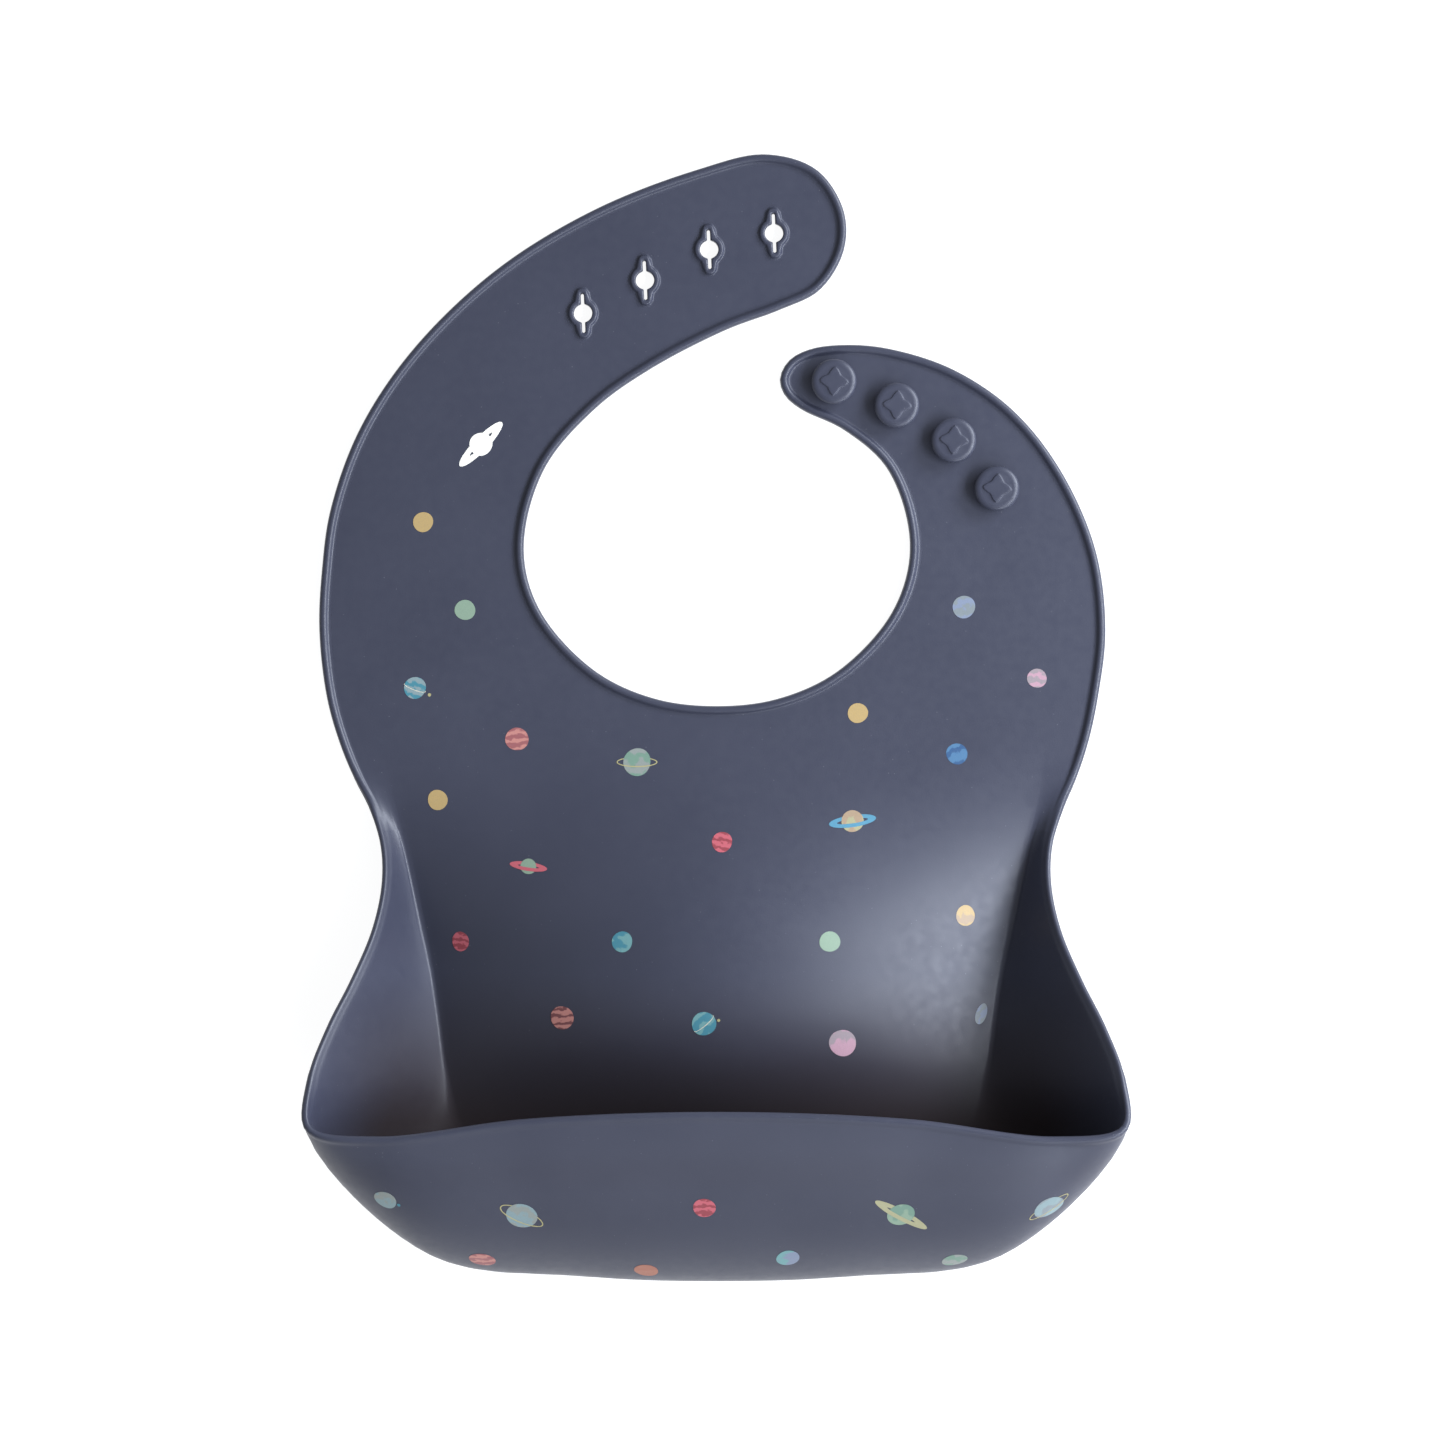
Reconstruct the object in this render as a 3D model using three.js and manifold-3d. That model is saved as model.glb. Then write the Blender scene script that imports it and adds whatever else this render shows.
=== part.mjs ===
// A baby's silicone bib with a catch-all pocket, lying on its back.
// Units are millimetres. +Y points at the neck straps, +Z out of the front, and Z = 0 is the back.
// The bib is one sheet of silicone, so its sub-parts are the panels, walls, straps, studs and collars
// of that moulding, parted where the silicone flexes. A thin flex band fills each parting.

import * as THREE from "three";
import { mergeVertices } from "three/addons/utils/BufferGeometryUtils.js";
import Module from "manifold-3d";

const SHEET = 2; // thickness of the silicone
const RIM_WIDTH = 3.2; // the raised bead round the straps and the neck
const RIM_TOP = 3.15;
const RIM_OVERHANG = 0.5; // how far the bead reaches past the flat sheet
const CLEARANCE = 0.3; // between neighbouring sub-parts
const EDGE_STEP = 4.5; // sampling of the outline

// The yoke's outline: up the left side, round the keyhole strap's tip, down and round the neck,
// round the stud strap's tip and down the right side.
const OUTLINE = [
  [-98.7, -13.8], [-104.4, 2.4], [-107.1, 24], [-104.1, 56.4], [-96.3, 78], [-81.9, 99.6],
  [-59.3, 121.2], [-32.8, 137.4], [-5, 148.2], [13.1, 152.3], [26.9, 148.2], [34.2, 137.4],
  [34.4, 126.6], [27.9, 115.8], [17.1, 110.4], [2.6, 105], [-18.2, 94.2], [-33.1, 83.4],
  [-46.6, 67.2], [-52, 46], [-47.7, 29.4], [-33.1, 13.2], [-17, 5.6], [0, 3.5],
  [17, 5.6], [33.1, 13.2], [47.7, 29.4], [52.2, 47], [46.3, 67.2], [34.4, 78],
  [22.8, 83.6], [18.4, 87.4], [17.1, 91.8], [19.6, 96.7], [25.5, 99.8], [36, 100.9], [47.7, 99.6],
  [63.9, 94.2], [79.8, 83.4], [92.7, 67.2], [102.2, 45.6], [104.9, 24], [102.2, 2.4],
  [98.7, -13.8],
];

// Lines that the straps curl about: a point in the middle of the strap, the line's direction
// in degrees from +X, and a length that clears both edges.
const STRAP_FOLD_GAP = 3;
const KEYHOLE_STRAP_FOLDS = [
  { x: -79.3, y: 37.5, turn: 9, length: 70 },
  { x: -66.5, y: 80.7, turn: -19, length: 64 },
  { x: -48.5, y: 100.5, turn: -41, length: 58 },
  { x: -10.7, y: 122.5, turn: -64, length: 48 },
];
const STUD_STRAP_FOLDS = [
  { x: 76, y: 22, turn: 0, length: 70 },
  { x: 77, y: 45, turn: 0, length: 64 },
  { x: 56.2, y: 79.7, turn: 58.5, length: 46 },
];

// The bib folds across the chest between the straps and the pocket.
const CHEST_FOLD_Y = -10;
const CHEST_FOLD_GAP = 8;

// Four studs on one strap push through four keyholes in the other.
const STUDS = [[31.6, 90.8], [48.5, 84.4], [63.8, 75], [75.4, 62.05]];
const STUD_HEAD_RADIUS = 6.05;
const STUD_NECK_RADIUS = 2.3;
const STUD_FOOT_RADIUS = 3.1;
const STUD_UNDER_HEAD = 4.1;
const STUD_TOP = 6;
const STUD_SEGMENTS = 20;
const GRIP_RADIUS = 3.7; // the four-pointed boss on the stud's head
const GRIP_WAIST = 1.6;
const GRIP_HEIGHT = 0.35;

const KEYHOLES = [[-36, 109.4], [-19.3, 118.3], [-2, 126.6], [15.5, 131]];
const KEYHOLE_RADIUS = 2.5;
const KEYHOLE_SLIT_WIDTH = 0.9;
const KEYHOLE_SLIT_LENGTH = 10.7;
const COLLAR_RADIUS = 4;
const COLLAR_LOBE_WIDTH = 4.1;
const COLLAR_LENGTH = 14.2;
const COLLAR_HEIGHT = 0.9;

// Half of the pocket, from the waist to the middle of its front. Each station is a cubic Bezier
// in section: its foot on the chest panel, two points that swell the wall, and its lip.
const POCKET_STATIONS = [
  { foot: [94, -16, 0], belly: [95.2, -16.6, 0], shoulder: [96, -17, 0.3], lip: [97, -17.4, 0.8] },
  { foot: [88.5, -22.5, 0], belly: [91, -23, 0], shoulder: [92.5, -23.5, 1], lip: [93.8, -24, 2.5] },
  { foot: [83.6, -32.3, 0], belly: [86.6, -33, 0], shoulder: [88.6, -33.6, 2.5], lip: [90.5, -34, 6.7] },
  { foot: [82.2, -42, 0], belly: [84.6, -42.7, 0.4], shoulder: [86.6, -44, 4], lip: [89.8, -44, 11.8] },
  { foot: [79.7, -55, 0], belly: [83.2, -55.6, 1.4], shoulder: [85.8, -56, 7], lip: [91.9, -56, 18.5] },
  { foot: [77.3, -68, 0], belly: [82, -69, 3.4], shoulder: [87, -70, 13], lip: [97, -69, 26.3] },
  { foot: [75.6, -80, 0], belly: [81.2, -81.5, 5], shoulder: [92, -83, 19], lip: [102.7, -81, 33] },
  { foot: [73.4, -95, 0], belly: [81.5, -99, 6], shoulder: [98.5, -98, 26], lip: [107, -94, 40] },
  { foot: [68, -112, 0], belly: [88, -131, 0], shoulder: [106.6, -120, 27], lip: [106.5, -106.5, 45.5] },
  { foot: [54, -127, 0], belly: [68.5, -160.5, 0], shoulder: [88, -141, 31], lip: [88, -109, 46] },
  { foot: [28, -133, 0], belly: [36, -167, 0], shoulder: [46, -143, 33], lip: [50, -104.3, 46.5] },
  { foot: [0, -135, 0], belly: [0, -169, 0], shoulder: [0, -143, 33], lip: [0, -102.4, 47] },
];
const POCKET_COLUMNS = 60; // around the pocket
const POCKET_ROWS = 9; // up its wall
const LIP_BEAD_WIDTH = 3.2;
const LIP_BEAD_PROUD = 1.1;

// The front wall swings about a line along its lower bend.
const FRONT_HALF_WIDTH = 80;
const FRONT_BACK_Y = -99;
const FRONT_FLEX_LOW = 8.5;
const FRONT_FLEX_HIGH = 13;
const FRONT_SIDE_GAP = 0.5;
const HEEL_HALF_WIDTH = 58;
const HEEL_BACK_Y = -100;

// The chest panel swells forwards between the pocket's walls.
const PANEL_TOP_Y = CHEST_FOLD_Y - CHEST_FOLD_GAP / 2 - CLEARANCE;
const PANEL_TOP_HALF_WIDTH = 97.8;
const PANEL_SWELL = 18;
const PANEL_CROWN = 0.8; // how round the top of the swell is, as a share of its half width
const PANEL_CREST_Y = [-60, -74]; // the swell is highest between these
const PANEL_SWELL_END_Y = -132;
const PANEL_COLUMNS = 16;
const PANEL_ROWS = 20;
const PANEL_LAST_STATION = 0.95; // short of the front's middle, where the panel would be a sliver

const SILICONE = { color: new THREE.Color(0.3, 0.33, 0.42), roughness: 0.55, metalness: 0 };

const wasm = await Module();
wasm.setup();

// ---- Solids -------------------------------------------------------------------------------

// Turns a closed geometry into a solid that can be joined and cut.
function solidOf(geometry) {
  const bare = geometry.clone();
  bare.deleteAttribute("normal");
  bare.deleteAttribute("uv");
  const merged = mergeVertices(bare, 1e-4);
  return new wasm.Manifold(
    new wasm.Mesh({
      numProp: 3,
      vertProperties: merged.attributes.position.array,
      triVerts: new Uint32Array(merged.index.array),
    }),
  );
}

function geometryOf(solid) {
  const mesh = solid.getMesh();
  const geometry = new THREE.BufferGeometry();
  geometry.setAttribute("position", new THREE.BufferAttribute(mesh.vertProperties, 3));
  geometry.setIndex(new THREE.BufferAttribute(mesh.triVerts, 1));
  geometry.computeVertexNormals();
  return geometry;
}

// A solid from a closed skin of triangles, turned inside out if they face inwards.
function outwardSolid(points, triangles) {
  const geometry = new THREE.BufferGeometry().setFromPoints(points);
  geometry.setIndex(triangles);
  const solid = solidOf(geometry);
  if (solid.volume() > 0) return solid;
  geometry.setIndex(triangles.toReversed());
  return solidOf(geometry);
}

// A closed skin over two grids of points, one above the other, with the same rows and columns.
function shell(upper, lower) {
  const rows = upper.length;
  const columns = upper[0].length;
  const points = [...upper.flat(), ...lower.flat()];
  const top = (row, column) => row * columns + column;
  const under = (row, column) => rows * columns + top(row, column);
  const triangles = [];
  const quad = (a, b, c, d) => triangles.push(a, b, c, a, c, d);
  for (let row = 0; row + 1 < rows; row++) {
    for (let column = 0; column + 1 < columns; column++) {
      quad(top(row, column), top(row, column + 1), top(row + 1, column + 1), top(row + 1, column));
      quad(under(row, column), under(row + 1, column), under(row + 1, column + 1), under(row, column + 1));
    }
    const last = columns - 1;
    quad(top(row, 0), top(row + 1, 0), under(row + 1, 0), under(row, 0));
    quad(top(row, last), under(row, last), under(row + 1, last), top(row + 1, last));
  }
  for (let column = 0; column + 1 < columns; column++) {
    const last = rows - 1;
    quad(top(0, column), under(0, column), under(0, column + 1), top(0, column + 1));
    quad(top(last, column), top(last, column + 1), under(last, column + 1), under(last, column));
  }
  return outwardSolid(points, triangles);
}

// A closed skin through rings of points, with a flat cap on each end.
function sweep(rings) {
  const size = rings[0].length;
  const triangles = [];
  for (let ring = 0; ring + 1 < rings.length; ring++) {
    for (let i = 0; i < size; i++) {
      const next = (i + 1) % size;
      const a = ring * size + i;
      const b = ring * size + next;
      triangles.push(a, b, b + size, a, b + size, a + size);
    }
  }
  const lastRing = (rings.length - 1) * size;
  for (let i = 1; i + 1 < size; i++) {
    triangles.push(0, i + 1, i, lastRing, lastRing + i, lastRing + i + 1);
  }
  return outwardSolid(rings.flat(), triangles);
}

function extrude(shape, low, high, curveSegments = 10) {
  const settings = { depth: high - low, bevelEnabled: false, curveSegments };
  const geometry = new THREE.ExtrudeGeometry(shape, settings);
  geometry.translate(0, 0, low);
  return solidOf(geometry);
}

// A box between two corners.
function block([x0, y0, z0], [x1, y1, z1]) {
  const geometry = new THREE.BoxGeometry(x1 - x0, y1 - y0, z1 - z0);
  geometry.translate((x0 + x1) / 2, (y0 + y1) / 2, (z0 + z1) / 2);
  return solidOf(geometry);
}

// The body of a cut solid whose middle is nearest to a point.
function bodyNear(bodies, [x, y]) {
  const distance = (body) => {
    const { min, max } = body.boundingBox();
    return Math.hypot((min[0] + max[0]) / 2 - x, (min[1] + max[1]) / 2 - y);
  };
  return bodies.reduce((best, body) => (distance(body) < distance(best) ? body : best));
}

// ---- Yoke and straps ----------------------------------------------------------------------

function outlineSamples() {
  const curve = new THREE.CatmullRomCurve3(
    OUTLINE.map(([x, y]) => new THREE.Vector3(x, y, 0)),
    false,
    "centripetal",
  );
  const count = Math.round(curve.getLength() / EDGE_STEP);
  const points = curve.getSpacedPoints(count);
  return points.map((point, i) => {
    const before = points[Math.max(0, i - 1)];
    const after = points[Math.min(count, i + 1)];
    const along = after.clone().sub(before).normalize();
    // The outline runs clockwise, so the sheet is on its right.
    return { point, inward: new THREE.Vector3(along.y, -along.x, 0) };
  });
}

function yokeSheet(samples) {
  const inset = samples.map(({ point, inward }) => point.clone().addScaledVector(inward, RIM_OVERHANG));
  return extrude(new THREE.Shape(inset.map(({ x, y }) => new THREE.Vector2(x, y))), 0, SHEET);
}

// The rounded bead along the outline, as thick as the sheet and its raised edge together.
function yokeRim(samples) {
  const section = [
    [RIM_OVERHANG, 0],
    [0, 0.7],
    [0, 2.3],
    [0.8, RIM_TOP],
    [2.2, RIM_TOP],
    [RIM_WIDTH, SHEET - 0.3],
    [RIM_WIDTH, 0],
  ];
  return sweep(
    samples.map(({ point, inward }) =>
      section.map(([inset, height]) => {
        const corner = point.clone().addScaledVector(inward, inset);
        corner.z = height;
        return corner;
      }),
    ),
  );
}

// A block across a strap, along one of its fold lines.
function foldBlock({ x, y, turn, length }, width) {
  const geometry = new THREE.BoxGeometry(length, width, 4 * SHEET);
  geometry.rotateZ(THREE.MathUtils.degToRad(turn));
  geometry.translate(x, y, 0);
  return solidOf(geometry);
}

function chestBlock(width) {
  const reach = 2 * PANEL_TOP_HALF_WIDTH;
  return block([-reach, CHEST_FOLD_Y - width / 2, -SHEET], [reach, CHEST_FOLD_Y + width / 2, 2 * SHEET]);
}

// ---- Keyholes and studs -------------------------------------------------------------------

// A round hole with a slot through it, both about a centre: the opening and its collar's outline.
function keyhole([x, y], radius, slotWidth, slotLength, low, high) {
  const round = new THREE.CylinderGeometry(radius, radius, high - low, 18);
  round.rotateX(Math.PI / 2);
  round.translate(x, y, (low + high) / 2);
  const half = slotLength / 2 - slotWidth / 2;
  const slot = new THREE.Shape();
  slot.moveTo(x + slotWidth / 2, y - half);
  slot.absarc(x, y + half, slotWidth / 2, 0, Math.PI, false);
  slot.absarc(x, y - half, slotWidth / 2, Math.PI, 2 * Math.PI, false);
  return solidOf(round).add(extrude(slot, low, high, 5));
}

function collar(centre) {
  const low = SHEET;
  const high = SHEET + COLLAR_HEIGHT;
  const whole = keyhole(centre, COLLAR_RADIUS, COLLAR_LOBE_WIDTH, COLLAR_LENGTH, low, high);
  return whole.subtract(keyholeCut(centre));
}

function keyholeCut(centre) {
  return keyhole(centre, KEYHOLE_RADIUS, KEYHOLE_SLIT_WIDTH, KEYHOLE_SLIT_LENGTH, -SHEET, 3 * SHEET);
}

// A mushroom-shaped stud with a four-pointed boss on its head.
function stud([x, y]) {
  const profile = [
    [0, SHEET],
    [STUD_FOOT_RADIUS, SHEET],
    [STUD_NECK_RADIUS, SHEET + 0.9],
    [STUD_NECK_RADIUS, STUD_UNDER_HEAD - 0.4],
    [STUD_HEAD_RADIUS - 0.7, STUD_UNDER_HEAD],
    [STUD_HEAD_RADIUS, STUD_UNDER_HEAD + 0.7],
    [STUD_HEAD_RADIUS - 0.2, STUD_TOP - 0.5],
    [STUD_HEAD_RADIUS - 0.8, STUD_TOP],
    [0, STUD_TOP],
  ].map(([radius, height]) => new THREE.Vector2(radius, height));
  const mushroom = new THREE.LatheGeometry(profile, STUD_SEGMENTS);
  mushroom.rotateX(Math.PI / 2);
  mushroom.translate(x, y, 0);

  const grip = new THREE.Shape();
  grip.moveTo(x + GRIP_RADIUS, y);
  for (let point = 1; point <= 4; point++) {
    const angle = (point * Math.PI) / 2;
    const middle = angle - Math.PI / 4;
    grip.quadraticCurveTo(
      x + GRIP_WAIST * Math.cos(middle),
      y + GRIP_WAIST * Math.sin(middle),
      x + GRIP_RADIUS * Math.cos(angle),
      y + GRIP_RADIUS * Math.sin(angle),
    );
  }
  return solidOf(mushroom).add(extrude(grip, STUD_TOP - 0.2, STUD_TOP + GRIP_HEIGHT, 4));
}

// ---- Pocket -------------------------------------------------------------------------------

// A curve through one point of every station, right round the pocket from the left waist.
function stationCurve(part) {
  const right = POCKET_STATIONS.map((station) => new THREE.Vector3(...station[part]));
  const left = right.slice(0, -1).map(({ x, y, z }) => new THREE.Vector3(-x, y, z));
  return new THREE.CatmullRomCurve3([...left, ...right.toReversed()], false, "centripetal");
}

const foot = stationCurve("foot");
const belly = stationCurve("belly");
const shoulder = stationCurve("shoulder");
const lip = stationCurve("lip");

// The wall's section at a share of the way round the pocket.
function section(around) {
  return new THREE.CubicBezierCurve3(
    foot.getPoint(around),
    belly.getPoint(around),
    shoulder.getPoint(around),
    lip.getPoint(around),
  );
}

// A point of the wall's outside, with its normal towards the inside of the pocket.
function wallPoint(around, up) {
  const step = 1e-3;
  const before = section(Math.max(0, around - step)).getPoint(up);
  const after = section(Math.min(1, around + step)).getPoint(up);
  const rise = section(around).getTangent(up);
  const inward = rise.clone().cross(after.sub(before)).normalize();
  return { point: section(around).getPoint(up), rise, inward };
}

function pocketWall() {
  const outside = [];
  const inside = [];
  for (let column = 0; column <= POCKET_COLUMNS; column++) {
    const points = [];
    for (let row = 0; row <= POCKET_ROWS; row++) {
      points.push(wallPoint(column / POCKET_COLUMNS, row / POCKET_ROWS));
    }
    outside.push(points.map(({ point }) => point));
    inside.push(points.map(({ point, inward }) => point.clone().addScaledVector(inward, SHEET)));
  }
  return shell(inside, outside);
}

// The bead along the outside of the lip, from one waist to the other.
function lipBead() {
  const beadSection = [
    [CLEARANCE, 0],
    [LIP_BEAD_PROUD, 0.4],
    [CLEARANCE + LIP_BEAD_PROUD, LIP_BEAD_WIDTH / 2],
    [LIP_BEAD_PROUD, LIP_BEAD_WIDTH - 0.4],
    [CLEARANCE, LIP_BEAD_WIDTH],
  ];
  const first = 0.3;
  const rings = [];
  for (let column = 0; column <= POCKET_COLUMNS; column++) {
    const around = first + ((1 - 2 * first) * column) / POCKET_COLUMNS;
    const { point, rise, inward } = wallPoint(around, 1);
    rings.push(
      beadSection.map(([out, down]) =>
        point.clone().addScaledVector(inward, -out).addScaledVector(rise, -down),
      ),
    );
  }
  return sweep(rings);
}

// ---- Chest panel --------------------------------------------------------------------------

// The panel fills the space between the two sides of the pocket's foot, clear of both faces of
// its wall.
function chestPanel() {
  const lines = [{ halfWidth: PANEL_TOP_HALF_WIDTH, y: PANEL_TOP_Y }];
  for (let row = 0; row <= PANEL_ROWS; row++) {
    const half = (PANEL_LAST_STATION * row) / PANEL_ROWS;
    const { point, inward } = wallPoint(1 - half / 2, 0);
    const inner = point.clone().addScaledVector(inward, SHEET);
    lines.push({
      halfWidth: Math.min(point.x, inner.x) - CLEARANCE,
      y: Math.max(point.y, inner.y) + CLEARANCE,
    });
  }
  const [crestTop, crestEnd] = PANEL_CREST_Y;
  const height = (share, y) => {
    const rise = THREE.MathUtils.smoothstep(-y, -PANEL_TOP_Y, -crestTop);
    const fall = THREE.MathUtils.smoothstep(-y, -crestEnd, -PANEL_SWELL_END_Y);
    const across = Math.hypot(share, PANEL_CROWN) - PANEL_CROWN;
    const full = Math.hypot(1, PANEL_CROWN) - PANEL_CROWN;
    return PANEL_SWELL * (1 - across / full) * rise * (1 - fall);
  };
  const surface = (base) =>
    lines.map(({ halfWidth, y }) => {
      const points = [];
      for (let column = 0; column <= PANEL_COLUMNS; column++) {
        const share = (2 * column) / PANEL_COLUMNS - 1;
        points.push(new THREE.Vector3(share * halfWidth, y, base + height(share, y)));
      }
      return points;
    });
  return shell(surface(SHEET), surface(0));
}

// ---- Assembly -----------------------------------------------------------------------------

const bib = new THREE.Group();

function addNode(name, solid) {
  const mesh = new THREE.Mesh(geometryOf(solid), new THREE.MeshStandardMaterial(SILICONE));
  mesh.name = name;
  bib.add(mesh);
}

function addYokeAndStraps() {
  const samples = outlineSamples();
  let sheet = yokeSheet(samples).add(yokeRim(samples));
  KEYHOLES.forEach((centre) => {
    sheet = sheet.subtract(keyholeCut(centre));
  });
  const folds = [...KEYHOLE_STRAP_FOLDS, ...STUD_STRAP_FOLDS];
  let parted = sheet.subtract(chestBlock(CHEST_FOLD_GAP));
  folds.forEach((fold) => {
    parted = parted.subtract(foldBlock(fold, STRAP_FOLD_GAP));
  });
  const bodies = parted.decompose();
  addNode("neck_yoke", bodyNear(bodies, [0, 15]));
  addNode("keyhole_strap_base", bodyNear(bodies, [-76, 60]));
  addNode("keyhole_strap_middle", bodyNear(bodies, [-60, 95]));
  addNode("keyhole_strap_shoulder", bodyNear(bodies, [-30, 115]));
  addNode("keyhole_strap_tip", bodyNear(bodies, [12, 130]));
  addNode("stud_strap_base", bodyNear(bodies, [78, 33]));
  addNode("stud_strap_middle", bodyNear(bodies, [75, 66]));
  addNode("stud_strap_tip", bodyNear(bodies, [40, 88]));

  const flexWidth = STRAP_FOLD_GAP - 2 * CLEARANCE;
  addNode("chest_flex", sheet.intersect(chestBlock(CHEST_FOLD_GAP - 2 * CLEARANCE)));
  KEYHOLE_STRAP_FOLDS.forEach((fold, i) => {
    addNode(`keyhole_strap_flex_${i + 1}`, sheet.intersect(foldBlock(fold, flexWidth)));
  });
  STUD_STRAP_FOLDS.forEach((fold, i) => {
    addNode(`stud_strap_flex_${i + 1}`, sheet.intersect(foldBlock(fold, flexWidth)));
  });
}

function addPocket() {
  const reach = 2 * FRONT_HALF_WIDTH;
  const tall = 80;
  const frontBlock = (halfWidth, low, high) => block([-halfWidth, -reach, low], [halfWidth, FRONT_BACK_Y, high]);
  const heelBlock = (halfWidth) => block([-halfWidth, -reach, -SHEET], [halfWidth, HEEL_BACK_Y, tall]);
  const wall = pocketWall();
  const bead = lipBead();

  addNode("pocket_front_wall", wall.intersect(frontBlock(FRONT_HALF_WIDTH, FRONT_FLEX_HIGH, tall)));
  addNode(
    "pocket_front_flex",
    wall.intersect(frontBlock(FRONT_HALF_WIDTH, FRONT_FLEX_LOW + CLEARANCE, FRONT_FLEX_HIGH - CLEARANCE)),
  );
  const base = wall.subtract(frontBlock(FRONT_HALF_WIDTH + FRONT_SIDE_GAP, FRONT_FLEX_LOW, tall));
  addNode("pocket_heel", base.intersect(heelBlock(HEEL_HALF_WIDTH)));
  const sides = base.subtract(heelBlock(HEEL_HALF_WIDTH + CLEARANCE)).decompose();
  addNode("pocket_left_side", bodyNear(sides, [-90, -80]));
  addNode("pocket_right_side", bodyNear(sides, [90, -80]));

  addNode("pocket_front_lip", bead.intersect(frontBlock(FRONT_HALF_WIDTH, 0, tall)));
  const corners = bead.subtract(frontBlock(FRONT_HALF_WIDTH + FRONT_SIDE_GAP, 0, tall)).decompose();
  addNode("pocket_left_lip", bodyNear(corners, [-100, -100]));
  addNode("pocket_right_lip", bodyNear(corners, [100, -100]));
}

addNode("chest_panel", chestPanel());
addYokeAndStraps();
addPocket();
KEYHOLES.forEach((centre, i) => addNode(`keyhole_collar_${i + 1}`, collar(centre)));
STUDS.forEach((centre, i) => addNode(`stud_${i + 1}`, stud(centre)));

export default bib;
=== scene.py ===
"""A baby's silicone bib with a scoop pocket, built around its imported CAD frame.

The bib is one moulded sheet, so it is meshed once as a whole and then parted along seams that
lie between the folds. Lengths are in millimetres here and turn into metres as a mesh is made.
"""

import math

import bmesh
import bpy
import numpy as np
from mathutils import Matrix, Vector
from mathutils.geometry import delaunay_2d_cdt


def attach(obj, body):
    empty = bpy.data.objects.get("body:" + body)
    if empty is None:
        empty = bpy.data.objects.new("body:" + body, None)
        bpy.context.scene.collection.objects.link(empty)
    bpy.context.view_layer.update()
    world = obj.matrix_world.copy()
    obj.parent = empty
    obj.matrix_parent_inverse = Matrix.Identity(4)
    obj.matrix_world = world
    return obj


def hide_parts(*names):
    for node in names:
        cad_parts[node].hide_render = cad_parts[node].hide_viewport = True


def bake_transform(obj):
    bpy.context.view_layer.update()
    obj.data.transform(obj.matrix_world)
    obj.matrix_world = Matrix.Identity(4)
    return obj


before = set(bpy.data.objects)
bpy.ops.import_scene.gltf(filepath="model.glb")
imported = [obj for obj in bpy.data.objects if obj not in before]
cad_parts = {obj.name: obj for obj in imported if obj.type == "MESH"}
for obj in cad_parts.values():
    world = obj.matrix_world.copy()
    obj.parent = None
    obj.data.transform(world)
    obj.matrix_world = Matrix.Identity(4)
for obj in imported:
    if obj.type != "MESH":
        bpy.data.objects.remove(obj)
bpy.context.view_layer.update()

MM = 0.001

# ---- Driving shapes -----------------------------------------------------------------------

SHEET = 2.0  # thickness of the silicone

# The neck straps' outline, from the left waist round both straps to the right waist.
STRAP_OUTLINE = [
    (-107.1, 24), (-106.4, 40.2), (-104.1, 56.4), (-96.3, 78), (-81.9, 99.6), (-59.3, 121.2),
    (-32.8, 137.4), (-5, 148.2), (13.1, 152.3), (26.9, 148.2), (34.2, 137.4), (34.4, 126.6),
    (27.9, 115.8), (17.1, 110.4), (2.6, 105), (-18.2, 94.2), (-33.1, 83.4), (-46.6, 67.2),
    (-52, 46), (-47.7, 29.4), (-33.1, 13.2), (-17, 5.6), (0, 3.5), (17, 5.6), (33.1, 13.2),
    (47.7, 29.4), (52.2, 47), (46.3, 67.2), (34.4, 78), (22.8, 83.6), (18.4, 87.4),
    (17.1, 91.8), (19.6, 96.7), (25.5, 99.8), (36, 100.9), (47.7, 99.6), (63.9, 94.2), (79.8, 83.4),
    (92.7, 67.2), (102.2, 45.6), (104.9, 24),
]

# Half of the pocket from the yoke to the middle of its front. Each station is a cubic Bezier in
# section: foot, belly, shoulder and lip. The last number moves it out on the wearer's right.
POCKET_STATIONS = [
    ((90.2, 8.6, 0), (94.4, 7.7, 0), (98.7, 6.9, 0), (102.9, 6, 0), 2.2),
    ((89, -3.9, 0), (92.7, -4.8, 0), (96.5, -5.6, 0), (100.2, -6.5, 0), 1.4),
    ((87.8, -14.8, 0), (91, -15.6, 0), (94, -16.4, 0.3), (96.8, -17, 0.7), 0.6),
    ((86.2, -23.5, 0), (89.3, -24, 0), (91.8, -24.3, 1), (93.7, -24.5, 2.8), 0),
    ((84, -32.5, 0), (86.4, -33, 0), (88.6, -33.7, 2.5), (90.5, -34, 6.8), 0),
    ((82.2, -42, 0), (84.6, -42.7, 0.4), (86.6, -44, 4), (89.8, -44, 11.8), 0),
    ((79.7, -55, 0), (83.2, -55.6, 1.4), (85.8, -56, 7), (91.9, -56, 18.5), 0),
    ((77.3, -68, 0), (82, -69, 3.4), (87, -70, 13), (97, -69, 26.3), 0),
    ((75.6, -80, 0), (81.2, -81.5, 5), (92, -83, 19), (102.7, -81, 33), 0),
    ((73.4, -95, 0), (81.5, -99, 6), (98.5, -98, 26), (107, -94, 40), 0),
    ((68, -112, 0), (88, -131, 0), (106.6, -120, 27), (106.5, -106.5, 45.5), 0),
    ((54, -127, 0), (68.5, -160.5, 0), (88, -141, 31), (88, -109, 46), 0),
    ((28, -133, 0), (36, -167, 0), (46, -143, 33), (50, -104.3, 46.5), 0),
    ((0, -135, 0), (0, -169, 0), (0, -143, 33), (0, -102.4, 47), 0),
]

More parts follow.
